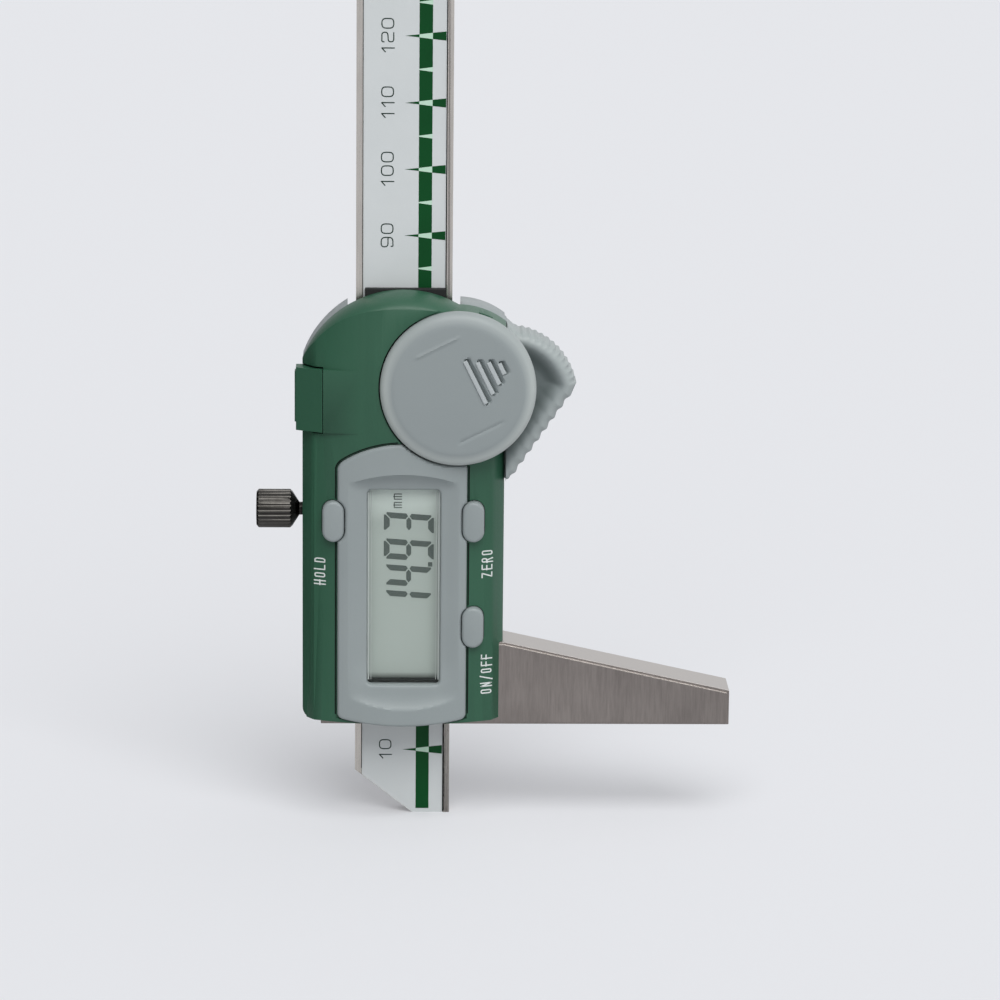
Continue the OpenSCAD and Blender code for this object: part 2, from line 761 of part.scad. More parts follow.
beam();
scale_board();
scale_label();
stop_plate();
stop_screws();
slider_frame();
base();
base_screws();
base_pins();
gib_strip();
gib_screws();
circuit_board();
controller_chip();
switch_domes();
zebra_strip();
lcd_panel();
lcd_gasket();
lcd_window();
front_housing();
display_panel();
rear_shell();
housing_screws();
upper_wiper();
lower_wiper();
battery();
battery_contact_plus();
battery_contact_minus();
port_contacts();
lock_pad();
lock_screw();
hold_button();
zero_button();
on_off_button();
battery_cover();
port_cover();
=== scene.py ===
"""Digital depth gauge: finishes, moulded edges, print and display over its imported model."""
import json
import math

import bmesh
import bpy
import numpy as np
from mathutils import Matrix, Vector
from mathutils.geometry import delaunay_2d_cdt


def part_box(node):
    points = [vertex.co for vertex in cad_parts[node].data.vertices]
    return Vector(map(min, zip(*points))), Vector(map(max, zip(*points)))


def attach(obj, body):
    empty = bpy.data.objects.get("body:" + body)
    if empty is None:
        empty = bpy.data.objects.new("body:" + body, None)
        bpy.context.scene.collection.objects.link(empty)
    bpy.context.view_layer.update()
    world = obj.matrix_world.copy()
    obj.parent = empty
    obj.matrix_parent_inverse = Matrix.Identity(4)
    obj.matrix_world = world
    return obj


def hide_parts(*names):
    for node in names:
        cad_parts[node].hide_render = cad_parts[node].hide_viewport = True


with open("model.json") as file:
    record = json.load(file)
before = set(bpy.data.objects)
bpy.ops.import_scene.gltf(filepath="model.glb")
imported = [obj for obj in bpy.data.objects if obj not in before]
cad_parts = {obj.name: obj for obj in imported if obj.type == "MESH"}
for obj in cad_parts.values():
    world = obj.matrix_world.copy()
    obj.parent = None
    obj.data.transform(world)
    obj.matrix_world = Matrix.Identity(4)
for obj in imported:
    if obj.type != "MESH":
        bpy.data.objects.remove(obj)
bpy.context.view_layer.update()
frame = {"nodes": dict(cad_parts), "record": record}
NODES = frame["nodes"]
RECORD = frame["record"]
BODY_OF = {n: b for b, ns in RECORD["behaviour"]["bodies"].items() for n in ns}
SLOT_OF = {s["node"]: s["material_slot"] for s in RECORD["subparts"]}
MM = 0.001
SHARP = math.radians(30)


# ---------------- finishes
def shade(r, g, b):
    """Linear colour of a display colour given from 0 to 255."""
    c = np.array([r, g, b]) / 255
    return (*np.where(c <= 0.04045, c / 12.92, ((c + 0.055) / 1.055) ** 2.4), 1.0)


def operator(kind, swapped=False):
    """Method of Wire that adds a Math node, with its two values swapped or not."""
    def result(self, other):
        return self.maths(kind, *((other, self) if swapped else (self, other)))
    return result


class Wire:
    """A node's output; sums, products and powers of wires add Math nodes."""
    __add__, __radd__ = operator("ADD"), operator("ADD", True)
    __sub__, __rsub__ = operator("SUBTRACT"), operator("SUBTRACT", True)
    __mul__, __truediv__, __pow__ = map(operator, ("MULTIPLY", "DIVIDE", "POWER"))

    def __init__(self, nodes, socket):
        self.nodes, self.socket = nodes, socket

    def maths(self, operation, *values):
        return self.nodes.add("Math", dict(enumerate(values)), operation=operation)

    def clipped(self):
        """The value held between 0 and 1."""
        return self.maths("MINIMUM", self.maths("MAXIMUM", self, 0.0), 1.0)


class Nodes:
    """The emptied node tree of a material or a world."""

    def __init__(self, owner):
        owner.use_nodes = True
        self.tree = owner.node_tree
        self.tree.nodes.clear()

    def add(self, kind, inputs=None, out=0, **settings):
        """Adds a node: its settings first, then the values or wires of its inputs."""
        node = self.tree.nodes.new("ShaderNode" + kind)
        for name, value in settings.items():
            setattr(node, name, value)
        for name, value in (inputs or {}).items():
            if isinstance(value, Wire):
                self.tree.links.new(value.socket, node.inputs[name])
            else:
                node.inputs[name].default_value = value
        return Wire(self, node.outputs[out])


class Finish(Nodes):
    """One material: a Principled shader with the nodes that feed it."""

    def __init__(self, name, **constants):
        self.material = bpy.data.materials.new(name)
        super().__init__(self.material)
        self.shader = self.tree.nodes.new("ShaderNodeBsdfPrincipled")
        out = self.tree.nodes.new("ShaderNodeOutputMaterial")
        self.tree.links.new(self.shader.outputs[0], out.inputs["Surface"])
        for socket, value in constants.items():
            self.shader.inputs[socket.replace("_", " ")].default_value = value
        self.place = self.add("TexCoord", out="Object")

    def feed(self, **wires):
        """Links wires to the shader's sockets."""
        for socket, wire in wires.items():
            self.tree.links.new(wire.socket, self.shader.inputs[socket.replace("_", " ")])

    def speckle(self, size, stretch=(1, 1, 1), detail=2.0, rough=0.5):
        """Noise whose grains are about size mm long, drawn out along the axes in stretch."""
        at = self.add("Mapping", {"Vector": self.place, "Scale": tuple(1 / s for s in stretch)})
        return self.add("TexNoise", {"Vector": at, "Scale": 1000 / size, "Detail": detail,
                                     "Roughness": rough})

    def blended(self, share, a, b):
        """Colour from a to b by share; each is a wire or a display colour."""
        a, b = (c if isinstance(c, Wire) else shade(*c) for c in (a, b))
        return self.add("Mix", {0: share, 6: a, 7: b}, out=2, data_type="RGBA")

    def along(self, axis):
        """A piece's own x, y or z in mm."""
        return self.add("SeparateXYZ", {0: self.place}, out=axis) * 1000.0

    def relief(self, height, depth, strength):
        """Normal from a height field whose full swing is depth mm."""
        return self.add("Bump", {"Height": height, "Distance": depth * MM, "Strength": strength})


def moulded(name, colour, deep, rough=0.42, grain=0.22, gloss=0.45, tints=()):
    """Injection-moulded plastic: fine spark-eroded grain, slightly cloudy colour. Each tint is
    a colour and a function of the finish that gives its share."""
    f = Finish(name, IOR=1.5, Specular_IOR_Level=gloss)
    fine = f.speckle(grain, detail=3.0, rough=0.6)
    cloud = f.speckle(14, detail=2.0)
    tone = f.blended((cloud * 0.7 + fine * 0.3 - 0.2).clipped(), colour, deep)
    for tint, share in tints:
        tone = f.blended(share(f), tone, tint)
    f.feed(Base_Color=tone,
           Roughness=(rough + (fine - 0.5) * 0.3 + (cloud - 0.5) * 0.12).clipped(),
           Normal=f.relief(fine, 0.012, 0.55))
    return f.material


def ground(name, colour, deep, stretch, rough):
    """Ground steel: long thin marks along the grinding direction over a cloudy sheen."""
    f = Finish(name, Metallic=1.0)
    line = f.speckle(0.16, stretch, detail=4.0, rough=0.7)
    broad = f.speckle(1.1, stretch, detail=2.0)
    cloud = f.speckle(9, detail=2.0)
    tone = (line * 0.5 + broad * 0.3 + cloud * 0.2 - 0.5) * 1.4 + 0.5
    f.feed(Base_Color=f.blended(tone.clipped(), deep, colour),
           Roughness=(rough + (line - 0.5) * 0.35 + (cloud - 0.5) * 0.15).clipped(),
           Normal=f.relief(line * 0.7 + broad * 0.3, 0.004, 0.6))
    return f.material


def base_steel(name):
    """Base block: upright grinding marks on its sides, and its upper face painted brighter, as
    painted light from above.
    """
    f = Finish(name, Metallic=1.0)
    line = f.speckle(0.3, (1, 1, 14), detail=4.0, rough=0.7)
    cloud = f.speckle(9, detail=2.0)
    facing = f.add("SeparateXYZ", {0: f.add("TexCoord", out="Normal")}, out="Z")
    # Painted light: faces that point upwards take the brighter tone.
    upper = ((facing - 0.4) * 4.0).clipped()
    tone = ((line * 0.6 + cloud * 0.4 - 0.5) * 1.3 + 0.5).clipped()
    sides = f.blended(tone, (120, 113, 109), (172, 164, 159))
    lit_top_tone = f.blended(tone, (192, 187, 182), (208, 203, 198))
    f.feed(Base_Color=f.blended(upper, sides, lit_top_tone),
           Roughness=(0.4 + (line - 0.5) * 0.35 + (cloud - 0.5) * 0.15).clipped(),
           Normal=f.relief(line, 0.004, 0.6))
    return f.material


def plain_metal(name, colour, deep, rough):
    """Rolled or plated metal with a faint mottle."""
    f = Finish(name, Metallic=1.0)
    fine = f.speckle(0.5, detail=3.0)
    cloud = f.speckle(4, detail=2.0)
    f.feed(Base_Color=f.blended((fine * 0.4 + cloud * 0.6).clipped(), deep, colour),
           Roughness=(rough + (fine - 0.5) * 0.25).clipped(),
           Normal=f.relief(fine, 0.003, 0.5))
    return f.material


def printed(name, colour, deep, rough, gloss=0.5):
    """Screen-printed ink or film: nearly even colour with a faint dot structure."""
    f = Finish(name, IOR=1.45, Specular_IOR_Level=gloss)
    fine = f.speckle(0.12, detail=2.0)
    cloud = f.speckle(6, detail=2.0)
    f.feed(Base_Color=f.blended((cloud * 0.6 + fine * 0.4 - 0.1).clipped(), colour, deep),
           Roughness=(rough + (fine - 0.5) * 0.12).clipped(),
           Normal=f.relief(fine, 0.002, 0.4))
    return f.material


def laminate(name):
    """Glass-fibre board: green lacquer over a woven cross of fibres."""
    f = Finish(name, IOR=1.5)
    across = f.speckle(0.5, (8, 8, 1), detail=2.0)
    along = f.speckle(0.5, (1, 1, 8), detail=2.0)
    f.feed(Base_Color=f.blended((across * 0.5 + along * 0.5).clipped(), (58, 82, 44),
                                (104, 122, 76)),
           Roughness=(0.35 + (across - 0.5) * 0.3).clipped(),
           Normal=f.relief(across + along, 0.006, 0.5))
    return f.material


def clear_acrylic(name):
    """Clear window: thin gloss with a trace of hard-coat ripple."""
    f = Finish(name, Alpha=0.05, IOR=1.49, Base_Color=shade(140, 150, 146), Roughness=0.06)
    f.feed(Normal=f.relief(f.speckle(5, detail=1.0), 0.004, 0.3))
    return f.material


def display_glass(name):
    """Reflective liquid crystal: satin grey-green with a very fine even dot structure. Towards its
    upper end it is painted paler, as painted light against the bezel's shadow, and along its lower
    end it is painted darker, as painted shade below the gasket's lip."""
    f = Finish(name, IOR=1.45, Specular_IOR_Level=0.3)
    dots = f.speckle(0.09, detail=1.0)
    cloud = f.speckle(22, detail=1.0)
    z = f.along("Z")
    tone = f.blended((dots * 0.35 + cloud * 0.65 - 0.1).clipped(), (184, 195, 188),
                     (173, 184, 176))
    # Painted light: paler towards the top, where the bezel shades the glass.
    tone = f.blended(((z - 32.0) * 0.22).clipped(), tone, (232, 244, 236))
    # Painted shade: darker along the lower edge, below the gasket's black lip.
    tone = f.blended(((8.7 - z) * 1.1).clipped(), tone, (80, 87, 83))
    f.feed(Base_Color=tone,
           Roughness=(0.5 + (dots - 0.5) * 0.2).clipped(),
           Normal=f.relief(dots, 0.002, 0.4))
    return f.material


# Finishes of the record's slots, and after them those of single pieces
FINISHES = {
    "ground_steel": ground("ground_steel_beam", (234, 229, 222), (182, 175, 168),
                           (1, 1, 60), rough=0.26),
    "frame_steel": ground("milled_steel_frame", (186, 183, 178), (132, 129, 125),
                          (1, 1, 30), rough=0.34),
    "bright_screws": plain_metal("zinc_screws", (196, 196, 192), (150, 150, 148), 0.3),
    "blackened_steel": plain_metal("gunmetal_knob", (104, 102, 98), (34, 32, 30), 0.2),
    "green_plastic": moulded("green_housing_plastic", (48, 95, 72), (37, 80, 59)),
    "grey_plastic": moulded("grey_panel_plastic", (152, 160, 160), (138, 147, 148)),
    "printed_label": printed("white_scale_film", (216, 220, 220), (204, 209, 209), 0.3),
    "glass_fibre": laminate("glass_fibre_board"),
    "clear_window": clear_acrylic("clear_window_acrylic"),
    "liquid_crystal": display_glass("liquid_crystal_glass"),
    "black_rubber": moulded("black_felt_rubber", (30, 31, 31), (18, 19, 19), 0.75, 0.3),
    "brass": plain_metal("bare_brass", (190, 152, 84), (160, 122, 60), 0.32),
    "gold_contacts": plain_metal("gold_plate", (214, 176, 92), (190, 148, 66), 0.24),
    "cell_steel": plain_metal("nickel_cell", (206, 207, 206), (176, 177, 176), 0.22),
    "chip_black": moulded("epoxy_chip", (34, 35, 38), (24, 25, 27), 0.5, 0.1),
    "ground_base": base_steel("ground_steel_base"),
    "dark_ink": printed("dark_green_ink", (4, 78, 34), (1, 56, 22), 0.45, 0.2),
    "number_ink": printed("number_ink", (12, 46, 33), (6, 34, 24), 0.45, 0.25),
    "pale_ink": printed("pale_green_ink", (198, 228, 207), (188, 220, 198), 0.35),
    "word_paint": printed("white_word_paint", (226, 230, 228), (214, 219, 216), 0.45),
    "segment_ink": printed("display_segments", (84, 95, 90), (76, 87, 82), 0.5),
    # Cover ribs: the grey plastic painted paler, as painted light on their tops.
    "painted_lit_ribs": moulded("cover_ribs_painted_light", (184, 190, 191), (172, 179, 180), 0.34),
    # Painted highlight for the window's bevelled edges.
    "lens_edge_highlight": printed("painted_lens_highlight", (206, 213, 209), (196, 204, 200), 0.3),
    # Black: the gasket's real lip, and painted shadow in the gaps round the panel, the cover and
    # the label.
    "shadow_line": moulded("black_lip_and_gap_shadow", (16, 17, 17), (9, 10, 10), 0.6, 0.3, gloss=0.1),
}


# ---------------- pieces
def linked(name, data):
    """New object in the scene."""
    made = bpy.data.objects.new(name, data)
    bpy.context.scene.collection.objects.link(made)
    return made


def finished(name, mesh, body, finish):
    """Links a mesh whose vertices are in place, gives it its finish and lets it ride."""
    piece = linked(name, mesh)
    mesh.materials.clear()
    mesh.materials.append(FINISHES[finish])
    mesh.shade_smooth()
    mesh.set_sharp_from_angle(angle=SHARP)
    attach(piece, body)
    return piece


def box_mm(node):
    """Lower and upper corner of a CAD node's box in mm."""
    return [np.array(corner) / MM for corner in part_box(node)]


def softened(node, width, segments=2, finish=None, plain=True):
    """Copy of a CAD node whose sharp edges are rounded to width mm; plain merges the flat
    faces first."""
    mesh = NODES[node].data.copy()
    work = bmesh.new()
    work.from_mesh(mesh)
    bmesh.ops.remove_doubles(work, verts=work.verts, dist=2e-6)
    if plain:
        bmesh.ops.dissolve_limit(work, angle_limit=math.radians(0.4), verts=work.verts,
                                 edges=work.edges, use_dissolve_boundaries=False)
    work.to_mesh(mesh)
    work.free()
    slot = SLOT_OF[node]
    piece = finished(node + "_moulding", mesh, BODY_OF[node], finish or slot)
    bevel = piece.modifiers.new("edges", "BEVEL")
    bevel.width = width * MM
    bevel.segments = segments
    bevel.limit_method = "ANGLE"
    bevel.angle_limit = SHARP
    bevel.harden_normals = True
    bevel.use_clamp_overlap = True
    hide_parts(node)
    return piece


def cut_off(piece, at, away):
    """Bakes a piece's bevel and removes what lies beyond a plane, in mm, closing the cut."""
    baked = bpy.data.meshes.new_from_object(
        piece.evaluated_get(bpy.context.evaluated_depsgraph_get()))
    piece.modifiers.clear()
    work = bmesh.new()
    work.from_mesh(baked)
    cut = bmesh.ops.bisect_plane(work, geom=work.verts[:] + work.edges[:] + work.faces[:],
                                 dist=1e-7, plane_co=np.array(at) * MM, plane_no=away,
                                 clear_outer=True)
    rim = [e for e in cut["geom_cut"] if isinstance(e, bmesh.types.BMEdge)]
    bmesh.ops.holes_fill(work, edges=rim, sides=0)
    work.to_mesh(baked)
    work.free()
    baked.set_sharp_from_angle(angle=SHARP)
    piece.data = baked


def from_arrays(name, points, faces):
    """Mesh from an array of points in mm and a list of face index tuples."""
    mesh = bpy.data.meshes.new(name)
    mesh.from_pydata((np.asarray(points) * MM).tolist(), [], faces)
    mesh.validate()
    return mesh


# ---------------- moulded surfaces
def arc(cx, cz, r, start=0.0, end=360.0, step=0.25):
    """Points on a circle from one angle to another, in degrees, about step mm apart."""
    n = max(3, round(abs(math.radians(end - start)) * r / step))
    a = np.radians(np.linspace(start, end, n, endpoint=abs(end - start) < 360))
    return np.c_[cx + r * np.cos(a), cz + r * np.sin(a)]


def stadium(cx, cz, wide, high):
    """Upright outline of two straight sides and two half circles."""
    r, up = wide / 2, (high - wide) / 2
    return np.concatenate([arc(cx, cz + up, r, 0, 179, 0.2), arc(cx, cz - up, r, 180, 359, 0.2)])


def round_box(x0, x1, z0, z1, r):
    """Outline of a rectangle with corners of radius r, and a test for points inside it."""
    outline = np.concatenate([arc(x, z, r, a, a + 90, 0.12) for x, z, a in (
        (x1 - r, z1 - r, 0), (x0 + r, z1 - r, 90), (x0 + r, z0 + r, 180), (x1 - r, z0 + r, 270))])

    def inside(p):
        out = [np.maximum(np.abs(p[..., k] - (a + b) / 2) - (b - a) / 2 + r, 0)
               for k, (a, b) in enumerate(((x0, x1), (z0, z1)))]
        return np.hypot(*out) < r
    return outline, inside


def curve(a, corner, c, n):
    """Quadratic curve of n points from a to c, pulled towards a corner."""
    t = np.linspace(0, 1, n)[:, None]
    return (1 - t) ** 2 * np.array(a) + 2 * t * (1 - t) * np.array(corner) + t ** 2 * np.array(c)


def bend(a, corner, c):
    """Such a curve without its two ends."""
    return curve(a, corner, c, 7)[1:-1]


def within(outline):
    """Test for points inside a closed outline: an odd number of its sides lie to their right."""
    a, b = sides_of([outline])

    def inside(p):
        x, z = p[..., 0][..., None], p[..., 1][..., None]
        spans = (a[:, 1] > z) != (b[:, 1] > z)
        rise = np.where(b[:, 1] == a[:, 1], 1.0, b[:, 1] - a[:, 1])
        return (spans & (x < a[:, 0] + (z - a[:, 1]) * (b[:, 0] - a[:, 0]) / rise)).sum(-1) % 2 == 1
    return inside


def walk(outline, step):
    """Closed outline with points added along its long sides."""
    out = []
    for a, b in zip(outline, np.roll(outline, -1, 0)):
        n = max(1, math.ceil(np.linalg.norm(b - a) / step))
        out.append(a + (b - a) * np.arange(n)[:, None] / n)
    return np.concatenate(out)


def distance(points, a, b):
    """Distance from each point to the nearest of the segments a to b."""
    along = b - a
    length = np.maximum((along ** 2).sum(1), 1e-12)
    nearest = np.empty(len(points))
    for k in range(0, len(points), 1500):
        away = points[k:k + 1500, None] - a
        share = np.clip((away * along).sum(2) / length, 0, 1)
        nearest[k:k + 1500] = np.sqrt(((away - share[..., None] * along) ** 2).sum(2)).min(1)
    return nearest


def rolled(d, r):
    """How far a rounded edge of radius r has dropped at distance d inside it."""
    s = np.clip(r - d, 0, r)
    return r - np.sqrt(r * r - s * s)


def eased(share):
    """Smooth step from 0 to 1: 3 t squared minus 2 t cubed."""
    t = np.clip(share, 0, 1)
    return t * t * (3 - 2 * t)


def sides_of(loops):
    """The first and second ends of all sides of closed loops."""
    return np.concatenate(loops), np.concatenate([np.roll(loop, -1, 0) for loop in loops])


# Where the rings of points lie on a rounded rim's quarter circle, in degrees
RING_ANGLES = (24, 40, 56, 72, 90)


def moulding(loops, inside, front, back, edge, step, soft=None, creases=()):
    """Closed slab over the flat region that the loops bound and inside(x, z) confirms.
    Its front is at y = front(x, z) and rolls away by the drop of radius edge towards the rim;
    its back is at y = back(x, z). Points lie about step mm apart, rings of them follow the
    rim within soft mm, and creases are outlines that the triangles keep to."""
    soft = soft or edge
    rims = [walk(loop, step) for loop in loops]
    lines = rims + [walk(crease, step * 0.6) for crease in creases]
    starts = np.cumsum([0] + [len(line) for line in lines])
    links = [(int(s + i), int(s + (i + 1) % len(line)))
             for s, line in zip(starts, lines) for i in range(len(line))]
    a, b = sides_of(rims)
    normal = np.stack([(a - b)[:, 1], (b - a)[:, 0]], 1)
    normal /= np.linalg.norm(normal, axis=1)[:, None]
    low, high = a.min(0), a.max(0)
    z = np.arange(low[1], high[1], step * 0.87)
    x = np.arange(low[0], high[0], step)
    grid = np.stack(np.meshgrid(x, z), -1)
    grid[1::2, :, 0] += step / 2
    grid = grid.reshape(-1, 2)
    grid = grid[inside(grid) & (distance(grid, a, b) > soft + step * 0.3)]
    spare = [grid[distance(grid, *sides_of(lines)) > step * 0.35]]
    for depth in soft * (1 - np.cos(np.radians(RING_ANGLES))):
        for side in (depth, -depth):
            ring = (a + b) / 2 + normal * side
            ring = ring[inside(ring)]
            if len(ring):
                spare.append(ring[distance(ring, a, b) > depth * 0.93])
    cut = delaunay_2d_cdt([Vector(p) for p in np.concatenate(lines + spare)], links, [], 0, 1e-4)
    flat, tri = np.array([tuple(p) for p in cut[0]]), np.array(cut[2])
    tri = tri[inside(flat[tri].mean(1))]
    used, tri = np.unique(tri, return_inverse=True)
    flat, tri = flat[used], tri.reshape(-1, 3)
    p, q, r = flat[tri[:, 0]], flat[tri[:, 1]], flat[tri[:, 2]]
    turned = (q - p)[:, 0] * (r - p)[:, 1] - (q - p)[:, 1] * (r - p)[:, 0] < 0
    tri[turned] = tri[turned][:, ::-1]
    n = len(flat)
    sides = np.concatenate([tri[:, [0, 1]], tri[:, [1, 2]], tri[:, [2, 0]]])
    rim = sides[~np.isin(sides[:, 0] * n + sides[:, 1], sides[:, 1] * n + sides[:, 0])]
    d = distance(flat, flat[rim[:, 0]], flat[rim[:, 1]])
    y_front = front(*flat.T) + rolled(d, edge)
    y_back = back(*flat.T)
    points = np.concatenate([np.c_[flat[:, 0], y, flat[:, 1]] for y in (y_front, y_back)])
    walls = np.stack([rim[:, 1], rim[:, 0], rim[:, 0] + n, rim[:, 1] + n], 1)
    return points, tri.tolist() + (tri[:, ::-1] + n).tolist() + walls.tolist()


def level(y):
    """A surface at one y."""
    return lambda x, z: np.full(np.shape(x), float(y))


# ---------------- print
def rounded(points, radius, closed=False, steps=5):
    """Polyline with each inner corner replaced by a curve that starts radius from it."""
    p = np.asarray(points, float)
    n = len(p)
    inner = range(n) if closed else range(1, n - 1)
    out = [] if closed else [p[:1]]
    for k in inner:
        a, b, c = p[k - 1], p[k], p[(k + 1) % n]
        before, after = a - b, c - b
        r = min(radius, 0.5 * np.linalg.norm(before), 0.5 * np.linalg.norm(after))
        s, e = b + before / np.linalg.norm(before) * r, b + after / np.linalg.norm(after) * r
        out.append(curve(s, b, e, steps))
    if not closed:
        out.append(p[-1:])
    q = np.concatenate(out)
    keep = np.linalg.norm(q - np.roll(q, 1, 0), axis=1) > 1e-5
    keep[0] = keep[0] or not closed
    return q[keep]


def stroke(points, width, closed=False):
    """Flat ribbon round a polyline: each point moves half the width along the mitre of its
    two normals, to both sides. Returns the points of both sides and the quads between."""
    p = np.asarray(points, float)
    ahead = np.roll(p, -1, 0) - p
    if not closed:
        ahead[-1] = ahead[-2]
    ahead /= np.linalg.norm(ahead, axis=1)[:, None]
    behind = np.roll(ahead, 1, 0)
    if not closed:
        behind[0] = ahead[0]
    normal = np.stack([-(ahead + behind)[:, 1], (ahead + behind)[:, 0]], 1)
    normal /= np.maximum((normal ** 2).sum(1), 1.0)[:, None]
    mitre = normal * width
    n = len(p)
    last = n if closed else n - 1
    i = np.arange(last)
    j = (i + 1) % n
    quads = np.stack([i, j, j + n, i + n], 1)
    return np.concatenate([p + mitre, p - mitre]), quads


def prism(flat, faces, depth):
    """Closed slab from flat faces: the faces, their copy depth further back, and a wall
    along each edge that belongs to one face only."""
    flat = np.asarray(flat, float)
    n = len(flat)
    faces = [tuple(int(v) for v in f) for f in faces]
    area = [sum(flat[a][0] * flat[b][1] - flat[b][0] * flat[a][1]
                for a, b in zip(f, f[1:] + f[:1])) for f in faces]
    faces = [f if s > 0 else f[::-1] for f, s in zip(faces, area)]
    edges = {(a, b) for f in faces for a, b in zip(f, f[1:] + f[:1])}
    rim = [(a, b) for a, b in edges if (b, a) not in edges]
    points = np.concatenate([np.c_[flat, np.full(n, depth)], np.c_[flat, np.zeros(n)]])
    solid = faces + [tuple(v + n for v in f[::-1]) for f in faces]
    solid += [(b, a, a + n, b + n) for a, b in rim]
    return points, solid


def joined(parts):
    """Several point and face sets as one."""
    points, faces, start = [], [], 0
    for p, f in parts:
        points.append(np.asarray(p, float))
        faces += [tuple(v + start for v in face) for face in f]
        start += len(p)
    return np.concatenate(points), faces


# Strokes of each sign in a box 1 wide and 1 high, x along the writing and y up
SIGNS = {
    "0": [("loop", [(0, 0), (1, 0), (1, 1), (0, 1)])],
    "1": [("line", [(0.2, 0.74), (0.7, 1.0), (0.7, 0.0)])],
    "2": [("line", [(0, 0.78), (0, 1), (1, 1), (1, 0.5), (0, 0.46), (0, 0), (1, 0)])],
    "3": [("line", [(0, 0.8), (0, 1), (1, 1), (1, 0.53), (0.35, 0.53)]),
          ("line", [(0.35, 0.53), (1, 0.53), (1, 0), (0, 0), (0, 0.2)])],
    "4": [("line", [(0.74, 0), (0.74, 1), (0, 0.27), (1, 0.27)])],
    "5": [("line", [(0.95, 1), (0.06, 1), (0.0, 0.55), (1, 0.6), (1, 0), (0, 0), (0, 0.18)])],
    "6": [("line", [(0.95, 0.82), (0.95, 1), (0, 1), (0, 0), (1, 0), (1, 0.58), (0.02, 0.58)])],
    "7": [("line", [(0, 1), (1, 1), (0.35, 0)])],
    "8": [("loop", [(0.04, 0.54), (0.96, 0.54), (0.96, 1), (0.04, 1)]),
          ("loop", [(0, 0), (1, 0), (1, 0.54), (0, 0.54)])],
    "9": [("line", [(0.05, 0.18), (0.05, 0), (1, 0), (1, 1), (0, 1), (0, 0.42), (0.98, 0.42)])],
    "H": [("line", [(0, 0), (0, 1)]), ("line", [(1, 0), (1, 1)]), ("line", [(0, 0.5), (1, 0.5)])],
    "O": [("loop", [(0, 0), (1, 0), (1, 1), (0, 1)])],
    "L": [("line", [(0, 1), (0, 0), (1, 0)])],
    "D": [("loop", [(0, 0), (0.75, 0), (1, 0.2), (1, 0.8), (0.75, 1), (0, 1)])],
    "Z": [("line", [(0, 1), (1, 1), (0, 0), (1, 0)])],
    "E": [("line", [(1, 1), (0, 1), (0, 0), (1, 0)]), ("line", [(0, 0.52), (0.85, 0.52)])],
    "R": [("line", [(0, 0), (0, 1), (0.95, 1), (0.95, 0.5), (0, 0.5)]),
          ("line", [(0.5, 0.5), (1, 0)])],
    "N": [("line", [(0, 0), (0, 1), (1, 0), (1, 1)])],
    "F": [("line", [(1, 1), (0, 1), (0, 0)]), ("line", [(0, 0.52), (0.85, 0.52)])],
    "/": [("line", [(0, -0.05), (1, 1.05)])],
    "m": [("line", [(0, 0), (0, 1), (1, 1), (1, 0)]), ("line", [(0.5, 1), (0.5, 0)])],
}
ROUND = set("0235689OR")
OPEN_ENDED = set("23569")


def sign(text, wide, high, gap, pen, radius, narrow=None):
    """Outline set of a word: each sign's strokes scaled to its box, set side by side. Lines
    are pen mm wide and run on by pen at their ends, but not those of the open-ended signs."""
    parts, at = [], 0.0
    for c in text:
        w = (narrow or {}).get(c, wide)
        for kind, points in SIGNS[c]:
            p = np.array(points, float) * [w - 2 * pen, high - 2 * pen] + [at + pen, pen]
            if kind == "line" and not (len(p) > 2 and c in OPEN_ENDED):
                start, end = p[0] - p[1], p[-1] - p[-2]
                p[0] += start / np.linalg.norm(start) * pen
                p[-1] += end / np.linalg.norm(end) * pen
            q = rounded(p, radius if c in ROUND else 0.02, kind == "loop")
            parts.append(stroke(q, pen, kind == "loop"))
        at += w + gap
    points, faces = joined(parts)
    return points, faces, at - gap


def inked(name, parts, place, finish, body, depth=0.02):
    """Thin closed ink from flat outlines, depth mm thick. place is the y of the face that it
    lies on, a number or a function of x."""
    points, faces = joined([prism(p, f, depth) for p, f in parts])
    x, z, height = points.T
    y = place(x) if callable(place) else place
    mesh = from_arrays(name, np.c_[x, y - height, z], faces)
    work = bmesh.new()
    work.from_mesh(mesh)
    bmesh.ops.recalc_face_normals(work, faces=work.faces)
    work.to_mesh(mesh)
    work.free()
    return finished(name, mesh, body, finish)


def upward(points, x0, z0):
    """Writing turned a quarter left: along becomes +z from z0, up becomes -x from x0."""
    p = np.asarray(points, float)
    return np.c_[x0 - p[:, 1], z0 + p[:, 0]]


def box_outline(x0, x1, z0, z1):
    """A rectangle as one flat face."""
    return np.array([[x0, z0], [x1, z0], [x1, z1], [x0, z1]]), [(0, 1, 2, 3)]


def wedge(x0, half0, x1, half1, z):
    """Flat wedge from x0 to x1, centred on z, from its half heights at both ends."""
    if half0:
        return (np.array([[x0, z - half0], [x1, z - half1], [x1, z + half1], [x0, z + half0]]),
                [(0, 1, 2, 3)])
    return np.array([[x0, z], [x1, z - half1], [x1, z + half1]]), [(0, 1, 2)]


LABEL_Y = -1.65
# y of the painted shadow strips along the label's edges
EDGE_SHADOW_Y = -1.752
BEAM_LOW = -14.93
LABEL_TOP = 207
MARKS_TOP = 206
NUMBERS, NUMBER_FOOT = 15, -1.56
BAND_LEFT, BAND_RIGHT, MARK_END = 2.1, 4.1, 6.12


